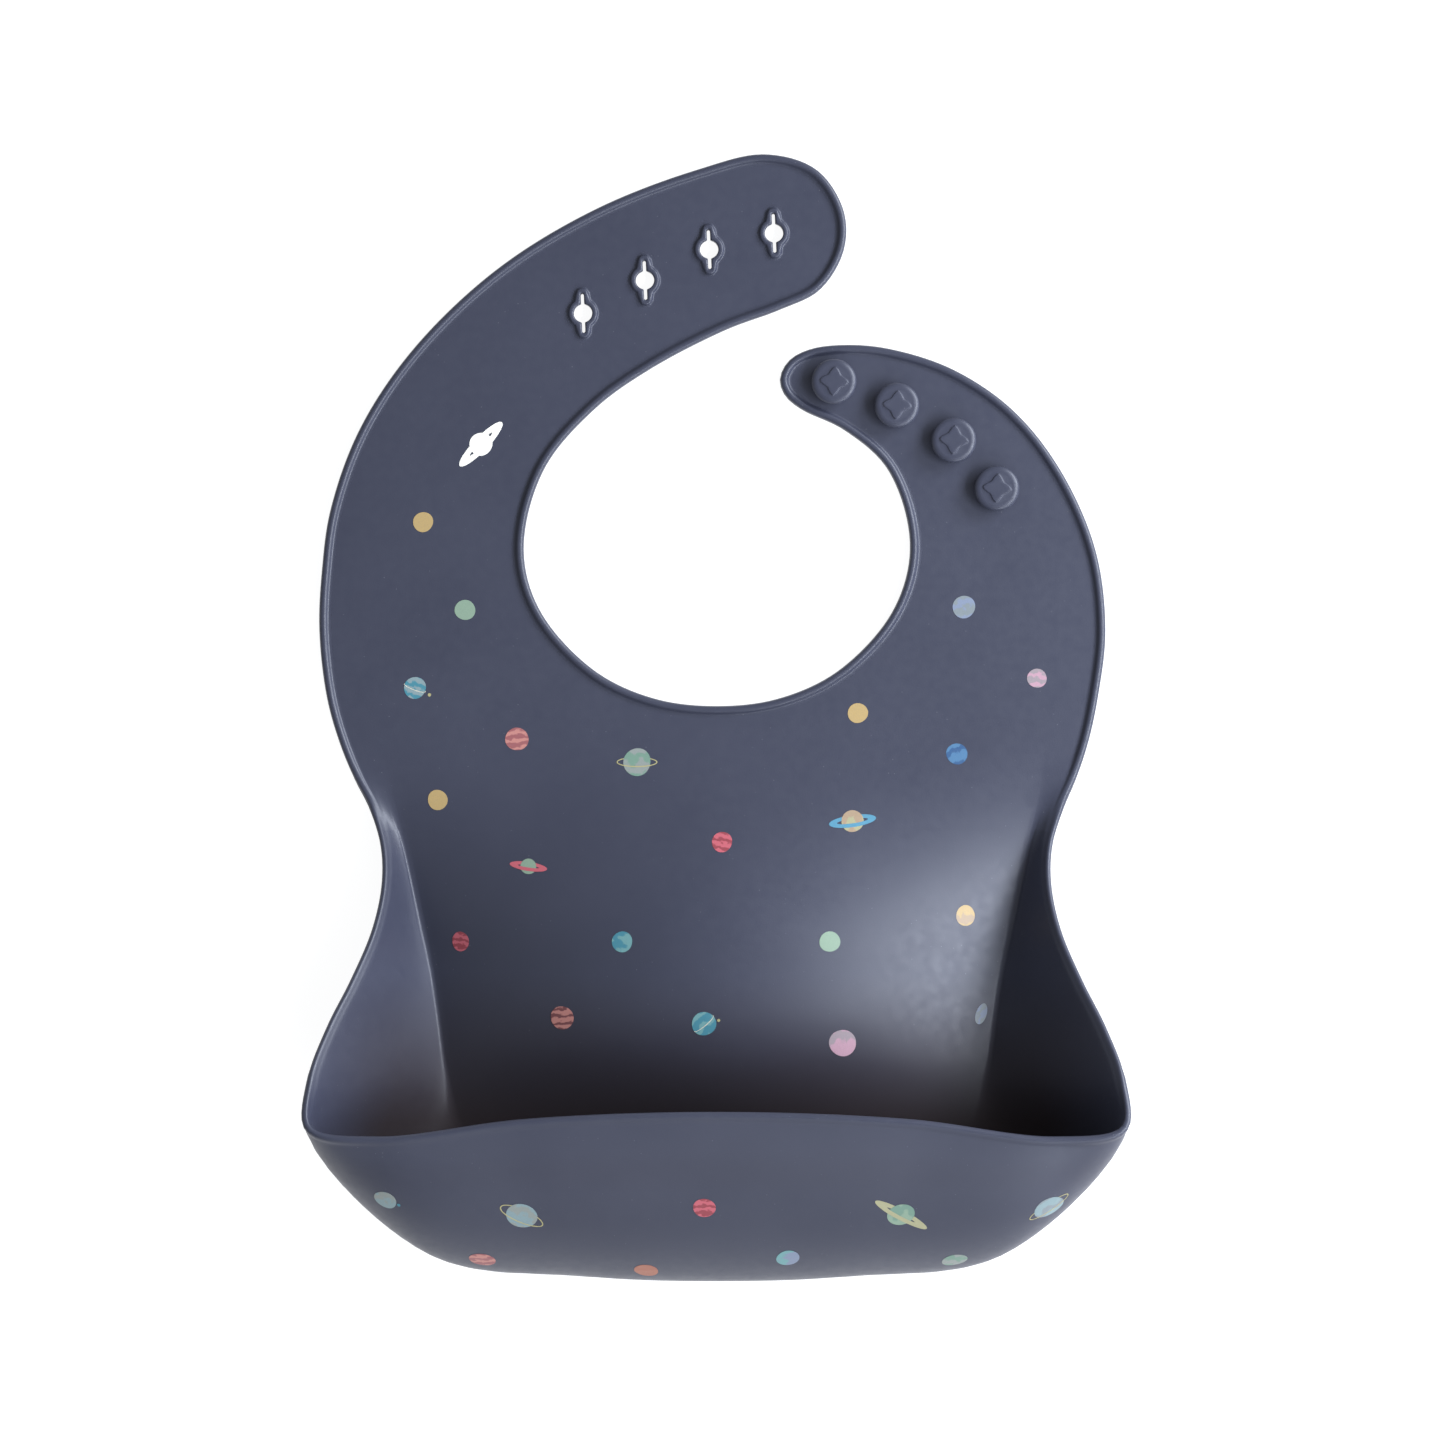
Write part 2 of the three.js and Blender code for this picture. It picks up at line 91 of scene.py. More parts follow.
# The free edge in section: distances in from the edge, and the heights over the back of the
# sheet of its front and back faces. The straps have a bead on their front, the side walls a
# plain rounded edge, and the pocket's lip a small bead on its outside.
EDGE_REACH = (0, 0.1, 0.35, 0.8, 1.3, 1.75, 2.05, 2.35, 2.65, 3.3)
PLAIN_FRONT = (1.0, 1.25, 1.45, 1.6, 1.68, 1.76, 1.83, 1.9, 1.95, 2)
BEAD_FRONT = (1.8, 2.35, 2.8, 3.02, 3.05, 2.9, 2.5, 2.1, 2, 2)
PLAIN_BACK = (0.6, 0.33, 0.12, 0, 0, 0, 0, 0, 0, 0)
LIP_BACK = (0.55, 0.18, -0.12, -0.26, -0.24, -0.16, -0.08, -0.03, 0, 0)
BEAD_END_Y = (-30, -8)
LIP_START_Y = (-91.5, -94)

EDGE_STEP = 2.0  # spacing of the mesh along the free edge
WALL_ROWS = 26  # rows of the mesh between the lip's section and the wall's foot
PANEL_STEP = 2.8  # spacing of the mesh inside the flat parts
PANEL_GAP = 0.62  # the share of that spacing kept clear beside their borders

PANEL_SWELL = 18.0  # how far the middle of the chest panel bulges out of the flat
PANEL_CROWN = 0.8  # how wide the round top of the swell is, as a share of its half width
PANEL_RISE_Y = (-2, -60)  # the swell rises between these and falls between the next two
PANEL_FALL_Y = (-74, -132)
MITRE_REACH = 2.6  # how far up the wall its foot turns towards the panel
MITRE_STEP = 0.5  # the panel's slope beside the foot is measured over this
FLANK_REACH = (1.3, 2.8, 4.6)  # rows of the mesh beside the pocket's foot
FLANK_TOP_Y = -24  # the rows start here and run round the foot
FLANK_CENTRE = np.array([0, -70])  # the rows lie on this point's side of the foot

KEYHOLES = [(-36, 109.4), (-19.3, 118.3), (-2, 126.6), (15.5, 131)]
KEYHOLE_RADIUS = 2.5
KEYHOLE_SLIT_HALF_WIDTH = 0.45
KEYHOLE_SLIT_HALF_LENGTH = 5.35
KEYHOLE_LEAN = 2.5  # degrees, anticlockwise
KEYHOLE_STEP = 0.5
KEYHOLE_REACH = (0, 0.12, 0.35, 0.65, 0.95, 1.2, 1.38, 1.52, 1.68, 2.0, 2.7)
KEYHOLE_FRONT = (2.5, 2.72, 2.84, 2.86, 2.86, 2.78, 2.5, 2.16, 2.02, 2, 2)
KEYHOLE_BACK = (0.3, 0.1, 0, 0, 0, 0, 0, 0, 0, 0, 0)
KEYHOLE_CORNER = 28.0  # how tight the corners are where the slit meets the round hole

STUDS = [(31.6, 90.8), (48.5, 84.4), (63.8, 75), (75.4, 62.05)]

# ---- Curves -------------------------------------------------------------------------------


FINE_CURVE = 4000  # samples that a curve's length is measured with
FINE_SECTION = 400  # the same for one section of the wall


class Spline:
    """A centripetal Catmull-Rom curve, evaluated by segment and by the share of the segment."""

    def __init__(self, points, closed=False):
        points = np.array(points, float)
        if closed:
            padded = np.vstack([points[-1:], points, points[:2]])
        else:
            first = 2 * points[0] - points[1]
            last = 2 * points[-1] - points[-2]
            padded = np.vstack([first, points, last])
        before, start, end, after = (padded[i : len(padded) - 3 + i] for i in range(4))
        gaps = [
            np.sqrt(np.linalg.norm(b - a, axis=1))[:, None]
            for a, b in ((before, start), (start, end), (end, after))
        ]
        g0, g1, g2 = gaps
        self.start, self.end = start, end
        self.leave = ((start - before) / g0 - (end - before) / (g0 + g1) + (end - start) / g1) * g1
        self.arrive = ((end - start) / g1 - (after - start) / (g1 + g2) + (after - end) / g2) * g1
        self.segments = len(start)

    def at(self, where):
        """Points at the positions where: 2.5 is halfway along the third segment."""
        where = np.asarray(where, float)
        k = np.clip(where.astype(int), 0, self.segments - 1)
        f = (where - k)[:, None]
        return (
            self.start[k] * (2 * f**3 - 3 * f**2 + 1)
            + self.leave[k] * (f**3 - 2 * f**2 + f)
            + self.end[k] * (3 * f**2 - 2 * f**3)
            + self.arrive[k] * (f**3 - f**2)
        )


def lengths_along(line):
    """The length along a line of points up to each of them."""
    return np.concatenate([[0], np.cumsum(np.linalg.norm(np.diff(line, axis=0), axis=1))])


def evenly(curve, first, last, step):
    """Positions from first to last along a curve, about a step apart."""
    fine = np.linspace(first, last, FINE_CURVE)
    along = lengths_along(curve.at(fine))
    count = max(2, int(round(along[-1] / step)))
    return np.interp(np.linspace(0, along[-1], count + 1), along, fine)


def unit(v):
    return v / np.maximum(np.linalg.norm(v, axis=-1, keepdims=True), 1e-12)


def smoothstep(low, high, x):
    t = np.clip((x - low) / (high - low), 0, 1)
    return t * t * (3 - 2 * t)


# ---- The whole sheet's surface ------------------------------------------------------------


def station_points(part):
    """One point of each station right round the pocket, from the right side to the left."""
    right = [np.array(s[part], float) for s in POCKET_STATIONS]
    left = [np.array((-s[part][0] - s[4], *s[part][1:]), float) for s in POCKET_STATIONS]
    return right + left[-2::-1]


edge = Spline([(x, y, 0) for x, y in STRAP_OUTLINE] + station_points(3), closed=True)
FIRST_WALL = len(STRAP_OUTLINE)  # the edge's position at the right end of the pocket's wall
LAST_WALL = len(STRAP_OUTLINE) + 2 * len(POCKET_STATIONS) - 2
foot, belly, shoulder = (Spline(station_points(part)) for part in (0, 1, 2))


def wall_grid():
    """The wall's back face: points and normals by column round the pocket and row down it."""
    columns = evenly(edge, FIRST_WALL, LAST_WALL, EDGE_STEP)
    local = columns - FIRST_WALL
    corners = [curve.at(local) for curve in (foot, belly, shoulder)] + [edge.at(columns)]
    t = np.linspace(1, 0, FINE_SECTION)[None, :, None]
    a, b, c, d = (corner[:, None, :] for corner in corners)
    fine = a * (1 - t) ** 3 + 3 * b * (1 - t) ** 2 * t + 3 * c * (1 - t) * t**2 + d * t**3
    points = []
    for line in fine:
        along = lengths_along(line)
        rows = np.linspace(EDGE_REACH[-1], along[-1], WALL_ROWS + 1)[1:]
        wanted = np.concatenate([EDGE_REACH, rows])
        points.append(np.stack([np.interp(wanted, along, line[:, i]) for i in range(3)], axis=1))
    points = np.array(points)
    around = np.gradient(points, axis=0)
    down = np.gradient(points, axis=1)
    return points, unit(np.cross(around, down))


wall_points, wall_normals = wall_grid()
if wall_normals[len(wall_normals) // 2, -1, 2] < 0:
    wall_normals = -wall_normals
foot_line = wall_points[:, -1]


def panel_height(x, y):
    """How far the chest panel swells out of the flat at a point."""
    middle = len(foot_line) // 2
    side = foot_line[: middle + 1][::-1]
    half_width = np.interp(y, side[:, 1], side[:, 0])
    share = np.clip(x / half_width, -1, 1)
    crown = np.hypot(share, PANEL_CROWN) - PANEL_CROWN
    fall = crown / (math.hypot(1, PANEL_CROWN) - PANEL_CROWN)
    along = smoothstep(*PANEL_RISE_Y, y) * (1 - smoothstep(*PANEL_FALL_Y, y))
    return PANEL_SWELL * (1 - fall) * along


def mitre_foot():
    """Turns the wall's normals at its foot halfway to the panel's, so that both fronts meet."""
    foot_x, foot_y, _ = foot_line.T
    nearer = foot_x - np.sign(foot_x) * MITRE_STEP
    slope = (panel_height(nearer, foot_y) - panel_height(foot_x, foot_y)) / MITRE_STEP
    panel_up = unit(np.stack([slope * np.sign(foot_x), 0 * slope, np.ones(len(slope))], axis=1))
    wall_up = wall_normals[:, -1]
    mitre = unit(wall_up + panel_up)
    mitre /= np.sum(mitre * wall_up, axis=1)[:, None]
    from_foot = np.linalg.norm(wall_points - foot_line[:, None], axis=2)
    share = np.clip(1 - from_foot / MITRE_REACH, 0, 1)[..., None]
    wall_normals[:] = wall_normals * (1 - share) + mitre[:, None] * share


mitre_foot()


def edge_section(lip_y):
    """Heights of the free edge's front and back faces where its y is lip_y."""
    plain_front, bead_front, plain_back, lip_back = (
        np.array(h, float) for h in (PLAIN_FRONT, BEAD_FRONT, PLAIN_BACK, LIP_BACK)
    )
    on_strap = smoothstep(*BEAD_END_Y, lip_y)[:, None]
    on_lip = smoothstep(*LIP_START_Y, lip_y)[:, None]
    front = plain_front + on_strap * (bead_front - plain_front)
    back = plain_back + on_lip * (lip_back - plain_back)
    return front, back


class Sheet:
    """Gathers the vertices and faces of the whole sheet."""

    def __init__(self):
        self.points = []
        self.faces = []

    def add(self, points):
        """Adds an array of points and returns their numbers in the same arrangement."""
        flat = np.asarray(points, float).reshape(-1, 3)
        first = len(self.points)
        self.points.extend(flat)
        return np.arange(first, first + len(flat)).reshape(np.shape(points)[:-1])

    def strip(self, grid, closed=False):
        """Adds the quads of a grid of vertex numbers, joining its ends if it is closed."""
        for column in range(len(grid) if closed else len(grid) - 1):
            near, far = grid[column], grid[(column + 1) % len(grid)]
            for row in range(len(near) - 1):
                self.faces.append((near[row], near[row + 1], far[row + 1], far[row]))


def rim_strip(sheet, front, back, closed=False):
    """Joins the front and back faces of a strip round its edge."""
    sheet.strip(np.concatenate([back[:, ::-1], front], axis=1), closed)


def keyhole_radius(angle, grow):
    """The radius at an angle of a round hole with a slit, grown outwards."""
    c, s = np.abs(np.cos(angle)), np.abs(np.sin(angle))
    half_width = KEYHOLE_SLIT_HALF_WIDTH + grow
    reach = KEYHOLE_SLIT_HALF_LENGTH - KEYHOLE_SLIT_HALF_WIDTH
    side = half_width / np.maximum(c, 1e-6)
    cap = reach * s + np.sqrt(np.maximum(half_width**2 - (reach * c) ** 2, 0))
    slit = np.where(side * s <= reach, side, cap)
    circle = KEYHOLE_RADIUS + grow
    return (slit**KEYHOLE_CORNER + circle**KEYHOLE_CORNER) ** (1 / KEYHOLE_CORNER)


def keyhole_angles():
    """Angles spaced evenly along a keyhole's outline."""
    fine = np.linspace(0, 2 * np.pi, FINE_CURVE + 1)
    radius = keyhole_radius(fine, 0)
    along = lengths_along(np.stack([radius * np.cos(fine), radius * np.sin(fine)], axis=1))
    count = int(along[-1] / KEYHOLE_STEP)
    return np.interp(np.linspace(0, along[-1], count, endpoint=False), along, fine)


def inside(points, loop):
    """Which points are inside a closed loop, both in plan."""
    x, y = points[:, 0, None], points[:, 1, None]
    x0, y0 = loop[:, 0], loop[:, 1]
    x1, y1 = np.roll(x0, -1), np.roll(y0, -1)
    spans = (y0 > y) != (y1 > y)
    rise = np.where(y1 == y0, 1e-12, y1 - y0)
    return (spans & (x < x0 + (y - y0) * (x1 - x0) / rise)).sum(axis=1) % 2 == 1


def build_sheet():
    """The whole moulded sheet as points and faces."""
    sheet = Sheet()
    reach = len(EDGE_REACH)

    # The pocket's wall.
    front_h, back_h = edge_section(wall_points[:, 0, 1])
    rows = wall_points.shape[1]
    front = np.full((len(wall_points), rows), SHEET)
    back = np.zeros((len(wall_points), rows))
    front[:, :reach] = front_h
    back[:, :reach] = back_h
    wall_front = sheet.add(wall_points + wall_normals * front[..., None])
    wall_back = sheet.add(wall_points + wall_normals * back[..., None])
    rim_strip(sheet, wall_front[:, :reach], wall_back[:, :reach])
    sheet.strip(wall_front[:, reach - 1 :])
    sheet.strip(wall_back[:, reach - 1 :])

    # The straps' edge, which shares its end columns with the wall.
    before_start = evenly(edge, LAST_WALL, edge.segments, EDGE_STEP)[1:]
    after_start = evenly(edge, 0, FIRST_WALL, EDGE_STEP)[1:-1]
    where = np.concatenate([before_start, after_start])
    line = edge.at(where)
    ahead, behind = (edge.at((where + nudge) % edge.segments) for nudge in (1e-3, -1e-3))
    along = unit(ahead - behind)
    inward = np.stack([along[:, 1], -along[:, 0], np.zeros(len(along))], axis=1)
    base = line[:, None, :] + inward[:, None, :] * np.array(EDGE_REACH)[None, :, None]
    front_h, back_h = edge_section(line[:, 1])
    up = np.array([0, 0, 1.0])
    strap_front = sheet.add(base + up * front_h[..., None])
    strap_back = sheet.add(base + up * back_h[..., None])
    strap_front = np.vstack([wall_front[-1:, :reach], strap_front, wall_front[:1, :reach]])
    strap_back = np.vstack([wall_back[-1:, :reach], strap_back, wall_back[:1, :reach]])
    rim_strip(sheet, strap_front, strap_back)

    # The keyholes.
    angles = keyhole_angles()
    loops = []
    for x, y in KEYHOLES:
        radius = np.stack([keyhole_radius(angles, grow) for grow in KEYHOLE_REACH], axis=1)
        lean = angles[:, None] + math.radians(KEYHOLE_LEAN)
        plan = np.stack([x + radius * np.cos(lean), y + radius * np.sin(lean)], axis=2)
        hole_front, hole_back = (
            sheet.add(np.dstack([plan, np.tile(heights, (len(angles), 1))]))
            for heights in (KEYHOLE_FRONT, KEYHOLE_BACK)
        )
        rim_strip(sheet, hole_front, hole_back, closed=True)
        loops.append((hole_front[:, -1], hole_back[:, -1]))

    # The flat of the straps and the chest panel, inside all of those.
    def outer(strap, wall):
        right, foot_row, left = wall[0, reach:], wall[1:, -1], wall[-1, reach:-1][::-1]
        return np.concatenate([strap[:, -1], right, foot_row, left])

    loops.insert(0, (outer(strap_front, wall_front), outer(strap_back, wall_back)))
    fill_flat(sheet, loops)
    return sheet


def flank_rows():
    """Rows of points beside the pocket's foot, so that the panel meets it evenly."""
    foot = foot_line[(foot_line[:, 1] < FLANK_TOP_Y), :2]
    along = np.gradient(foot, axis=0)
    side = np.stack([along[:, 1], -along[:, 0]], axis=1) / np.linalg.norm(along, axis=1)[:, None]
    side *= np.sign(np.sum(side * (FLANK_CENTRE - foot), axis=1))[:, None]
    return np.vstack([foot + side * reach for reach in FLANK_REACH])


def fill_flat(sheet, loops):
    """Meshes the front and back of the area inside the first loop and outside the others."""
    points = np.array(sheet.points)
    plans = [points[front][:, :2] for front, _ in loops]
    border = np.vstack(plans)
    low, high = border.min(axis=0), border.max(axis=0)
    row_step = PANEL_STEP * math.sqrt(3) / 2
    grid = []
    for i, y in enumerate(np.arange(low[1], high[1], row_step)):
        shift = PANEL_STEP / 2 * (i % 2)
        grid.extend((x + shift, y) for x in np.arange(low[0], high[0], PANEL_STEP))
    grid = np.array(grid)
    keep = inside(grid, plans[0])
    for plan in plans[1:]:
        keep &= ~inside(grid, plan)
    grid = grid[keep]
    flank = flank_rows()
    taken = np.vstack([border, flank])
    near = np.array([np.min(np.sum((taken - p) ** 2, axis=1)) for p in grid])
    grid = np.vstack([flank, grid[near > (PANEL_GAP * PANEL_STEP) ** 2]])

    height = panel_height(grid[:, 0], grid[:, 1])
    inner_front = sheet.add(np.column_stack([grid, height + SHEET]))
    inner_back = sheet.add(np.column_stack([grid, height]))
    front = np.concatenate([f for f, _ in loops] + [inner_front])
    back = np.concatenate([b for _, b in loops] + [inner_back])
    plan = np.vstack([border, grid])
    edges = []
    first = 0
    for loop, _ in loops:
        edges.extend((first + i, first + (i + 1) % len(loop)) for i in range(len(loop)))
        first += len(loop)
    _, _, triangles, origins, _, _ = delaunay_2d_cdt(
        [Vector(p) for p in plan], edges, [], 1, 1e-6, True
    )
    triangles = np.array([[origins[v][0] for v in t] for t in triangles])
    centres = plan[triangles].mean(axis=1)
    keep = inside(centres, plans[0])
    for hole in plans[1:]:
        keep &= ~inside(centres, hole)
    for a, b, c in triangles[keep]:
        sheet.faces.append((front[a], front[b], front[c]))
        sheet.faces.append((back[c], back[b], back[a]))


# ---- Parting the sheet --------------------------------------------------------------------

# Straight seams across the sheet: a point on each, its turn in degrees and how far it reaches.
SEAMS = [
    ((0, -30), 0, 140),
    ((-76.6, 20.7), 9, 38),
    ((-72.9, 59.1), -5, 36),
    ((-57.5, 90.6), -30, 32),
    ((-27.6, 113.9), -52, 28),
    ((68, 12), 0, 42),
    ((77, 34.5), 0, 34),
    ((72, 68), 30, 32),
]
SEAM_STRIP = 8.0  # a cut is made in the faces this close to its seam


def across_line(turn):
    """The direction in plan at right angles to a line turned by some degrees."""
    turn = math.radians(turn)
    return Vector((-math.sin(turn), math.cos(turn), 0))


def fold(body_a, body_b, point, turn, spread):
    """A bend between two bodies about a line across the sheet, spread either side of it."""
    across = across_line(turn)
    middle = Vector((*point, 0))
    return body_a, body_b, middle - across * spread, middle + across * spread


POCKET_PULL = Vector((0, -0.5, 0.87))  # the way the pocket's front is pulled

BENDS = {
    "pocket": ("root", "pocket_front", POCKET_PULL * 70, POCKET_PULL * 92),
    # Only the yoke's side of its fold curls, so that the panel stays flat on the table.
    "yoke": ("root", "yoke", Vector((0, -11.5, 0)), Vector((0, 11, 0))),
    "keyhole_1": fold("yoke", "keyhole_strap_1", (-79.3, 37.5), 9, 13),
    "keyhole_2": fold("keyhole_strap_1", "keyhole_strap_2", (-66.5, 80.7), -19, 12),
    "keyhole_3": fold("keyhole_strap_2", "keyhole_strap_3", (-48.5, 100.5), -41, 12),
    "keyhole_4": fold("keyhole_strap_3", "keyhole_strap_4", (-10.7, 122.5), -64, 8),
    "stud_1": fold("yoke", "stud_strap_1", (76, 22), 0, 8),
    "stud_2": fold("stud_strap_1", "stud_strap_2", (77, 45), 0, 8),
    "stud_3": fold("stud_strap_2", "stud_strap_3", (56.2, 79.7), 58.5, 6),
}

# Each part of the sheet: its name, a point on it, its bend and the CAD nodes it stands for.
PARTS = [
    (
        "panel_and_pocket",
        (0, -80),
        "pocket",
        "chest_panel pocket_heel pocket_left_side pocket_right_side pocket_left_lip"
        " pocket_right_lip pocket_front_flex pocket_front_wall pocket_front_lip",
    ),
    ("yoke_skin", (0, -5), "yoke", "chest_flex neck_yoke"),
    ("keyhole_strap_part_1", (-79, 37), "keyhole_1", "keyhole_strap_flex_1 keyhole_strap_base"),
    ("keyhole_strap_part_2", (-66, 80), "keyhole_2", "keyhole_strap_flex_2 keyhole_strap_middle"),
    (
        "keyhole_strap_part_3",
        (-45, 105),
        "keyhole_3",
        "keyhole_strap_flex_3 keyhole_strap_shoulder keyhole_collar_1",
    ),
    (
        "keyhole_strap_part_4",
        (5, 125),
        "keyhole_4",
        "keyhole_strap_flex_4 keyhole_strap_tip keyhole_collar_2 keyhole_collar_3 keyhole_collar_4",
    ),
    ("stud_strap_part_1", (76, 22), "stud_1", "stud_strap_flex_1 stud_strap_base"),
    ("stud_strap_part_2", (77, 50), "stud_2", "stud_strap_flex_2 stud_strap_middle"),
    ("stud_strap_part_3", (50, 90), "stud_3", "stud_strap_flex_3 stud_strap_tip"),
]


def cut_at_seams(bm):
    """Cuts the sheet apart along its seams and closes both sides of each cut."""
    for point, turn, reach in SEAMS:
        across = across_line(turn)
        middle = Vector((*point, 0))
        near = set()
        for face in bm.faces:
            offset = face.calc_center_median() - middle
            if abs(offset.dot(across)) < SEAM_STRIP and offset.xy.length < reach:
                near.update((face, *face.verts, *face.edges))
        cut = bmesh.ops.bisect_plane(
            bm, geom=list(near), dist=1e-5, plane_co=middle, plane_no=across
        )
        edges = [e for e in cut["geom_cut"] if isinstance(e, bmesh.types.BMEdge)]
        bmesh.ops.split_edges(bm, edges=edges)
    rims = [e for e in bm.edges if e.is_boundary]
    for e in rims:
        e.smooth = False
    caps = bmesh.ops.holes_fill(bm, edges=rims, sides=0)["faces"]
    for cap in caps:
        cap.smooth = False
    bmesh.ops.triangulate(bm, faces=caps)
    bmesh.ops.recalc_face_normals(bm, faces=bm.faces)


def connected(bm):
    """The faces of each separate body of a bmesh."""
    waiting = set(bm.faces)
    while waiting:
        group = [waiting.pop()]
        for face in group:
            for e in face.edges:
                for other in e.link_faces:
                    if other in waiting:
                        waiting.remove(other)
                        group.append(other)
        yield group


def mesh_object(name, points, faces, smooth=True):
    """An object from points in millimetres, which also remember their places at rest."""
    points = np.asarray(points, float)
    mesh = bpy.data.meshes.new(name)
    mesh.from_pydata([tuple(p) for p in points * MM], [], [tuple(map(int, f)) for f in faces])
    mesh.polygons.foreach_set("use_smooth", [smooth] * len(mesh.polygons))
    set_points(mesh, "rest_place", "FLOAT_VECTOR", points)
    mesh.update()
    obj = bpy.data.objects.new(name, mesh)
    bpy.context.scene.collection.objects.link(obj)
    return obj


def set_points(mesh, name, kind, values):
    """Stores one vector or colour for each point of a mesh."""
    field = {"FLOAT_VECTOR": "vector", "FLOAT_COLOR": "color"}[kind]
    made = mesh.attributes.new(name, kind, "POINT")
    made.data.foreach_set(field, np.asarray(values, np.float32).ravel())


def group_object(name, group):
    """An object from one connected group of bmesh faces."""
    number = {}
    for face in group:
        for v in face.verts:
            number.setdefault(v, len(number))
    obj = mesh_object(name, [v.co for v in number], [[number[v] for v in f.verts] for f in group])
    mesh = obj.data
    mesh.polygons.foreach_set("use_smooth", [f.smooth for f in group])
    sharp = {
        frozenset(number[v] for v in e.verts) for f in group for e in f.edges if not e.smooth
    }
    mesh.attributes.new("sharp_edge", "BOOLEAN", "EDGE")
    mesh.attributes["sharp_edge"].data.foreach_set(
        "value", [frozenset(e.vertices) in sharp for e in mesh.edges]
    )
    return obj


def finish_piece(obj, look, bend=None, body=None, nodes=""):
    """Gives a piece its look, bakes in its place if it lies on a bend or else attaches it to its body, and
    hides the CAD nodes that it stands for.
    """
    obj.data.materials.append(look)
    if bend:
        body_a, body_b, start, end = BENDS[bend]
        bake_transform(obj)
    else:
        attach(obj, body)
    if nodes:
        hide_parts(*nodes.split())


def build_parts(look):
    """The parts of the sheet, cut apart at the seams, each with its look."""
    sheet = build_sheet()
    bm = bmesh.new()
    corners = [bm.verts.new(p) for p in sheet.points]
    for face in sheet.faces:
        bm.faces.new([corners[i] for i in face]).smooth = True
    cut_at_seams(bm)
    groups = sorted(connected(bm), key=len, reverse=True)
    plans = [np.array([v.co.xy for f in group for v in f.verts]) for group in groups]
    for name, place, bend, nodes in PARTS:
        gaps = [np.min(np.sum((plan - place) ** 2, axis=1)) for plan in plans]
        obj = group_object(name, groups[int(np.argmin(gaps))])
        finish_piece(obj, look, bend=bend, nodes=nodes)
    bm.free()


# ---- Studs --------------------------------------------------------------------------------

STUD_HEAD_RADIUS = 6.05
STUD_FLAT_RADIUS = 4.35
STUD_TOP = 6.0
STUD_RIM_HEIGHT = 1.05
STUD_UNDER_HEAD = 4.0
STUD_NECK_RADIUS = 2.3
STUD_FOOT_RADIUS = 3.6
STUD_ROOT_DEPTH = 0.8  # how far the foot goes into the sheet
STUD_FOOT_HEIGHT = 0.9  # the hollow curve from the sheet up to the neck
STUD_THROAT = 0.5  # the hollow curve from the neck out to the head
STUD_LOWER_RIM = 0.8
STUD_SEGMENTS = 144
STUD_BODIES = ("stud_strap_3", "stud_strap_3", "stud_strap_2", "stud_strap_2")

GRIP_POINT = 4.3  # the raised four-pointed grip, from its middle to a sharp point
GRIP_BLUNT = 4.05  # the points are blunted at about this radius
GRIP_WAIST = 2.45  # the middles of its sides
GRIP_HOLLOW = 1.9  # how strongly the sides curve in
GRIP_HEIGHT = 0.32
GRIP_TURN = -5.0
# The grip's edge in section: distances out from its outline, and shares of its height.
GRIP_BEVEL = ((-0.28, 1), (-0.16, 0.93), (-0.06, 0.72), (0.04, 0.3), (0.12, 0.08), (0.24, 0))


def grip_radius(angle):
    """The outline of the four-pointed grip: sides that curve in between blunt points."""
    quarter = (angle - math.radians(GRIP_TURN)) % (math.pi / 2)
    to_waist = np.abs(quarter - math.pi / 4) / (math.pi / 4)
    sharp = GRIP_WAIST + (GRIP_POINT - GRIP_WAIST) * np.clip(to_waist, 0, 1) ** GRIP_HOLLOW
    return (sharp**-8 + GRIP_BLUNT**-8) ** (-1 / 8)


def stud_rings():
    """Rings of radius and height by angle, from under the sheet's surface up to the middle."""
    angles = np.linspace(0, 2 * np.pi, STUD_SEGMENTS, endpoint=False)
    round_ring = np.ones(STUD_SEGMENTS)
    rings = [(0, SHEET - STUD_ROOT_DEPTH), (STUD_FOOT_RADIUS, SHEET - STUD_ROOT_DEPTH)]
    foot_reach = STUD_FOOT_RADIUS - STUD_NECK_RADIUS
    rim_reach = STUD_HEAD_RADIUS - STUD_FLAT_RADIUS
    quarter = np.linspace(0, math.pi / 2, 7)
    for t in quarter:
        radius = STUD_FOOT_RADIUS - foot_reach * math.sin(t)
        rings.append((radius, SHEET + STUD_FOOT_HEIGHT * (1 - math.cos(t))))
    rings.append((STUD_NECK_RADIUS, STUD_UNDER_HEAD - 0.1 - STUD_THROAT))
    for t in quarter[1:]:
        radius = STUD_NECK_RADIUS + STUD_THROAT * (1 - math.cos(t))
        rings.append((radius, STUD_UNDER_HEAD - STUD_THROAT * (1 - math.sin(t))))
    for t in quarter:
        radius = STUD_HEAD_RADIUS - STUD_LOWER_RIM * (1 - math.sin(t))
        rings.append((radius, STUD_UNDER_HEAD + STUD_LOWER_RIM * (1 - math.cos(t))))
    for t in np.linspace(0, math.pi / 2, 11):
        radius = STUD_FLAT_RADIUS + rim_reach * math.cos(t)
        rings.append((radius, STUD_TOP - STUD_RIM_HEIGHT * (1 - math.sin(t))))
    made = [(radius * round_ring, height) for radius, height in rings]
    grip = grip_radius(angles)
    for offset, share in GRIP_BEVEL[::-1]:
        made.append((grip + offset, STUD_TOP + GRIP_HEIGHT * share))
    for share in (0.7, 0.4, 0):
        made.append(((grip + GRIP_BEVEL[0][0]) * share, STUD_TOP + GRIP_HEIGHT))
    return angles, made


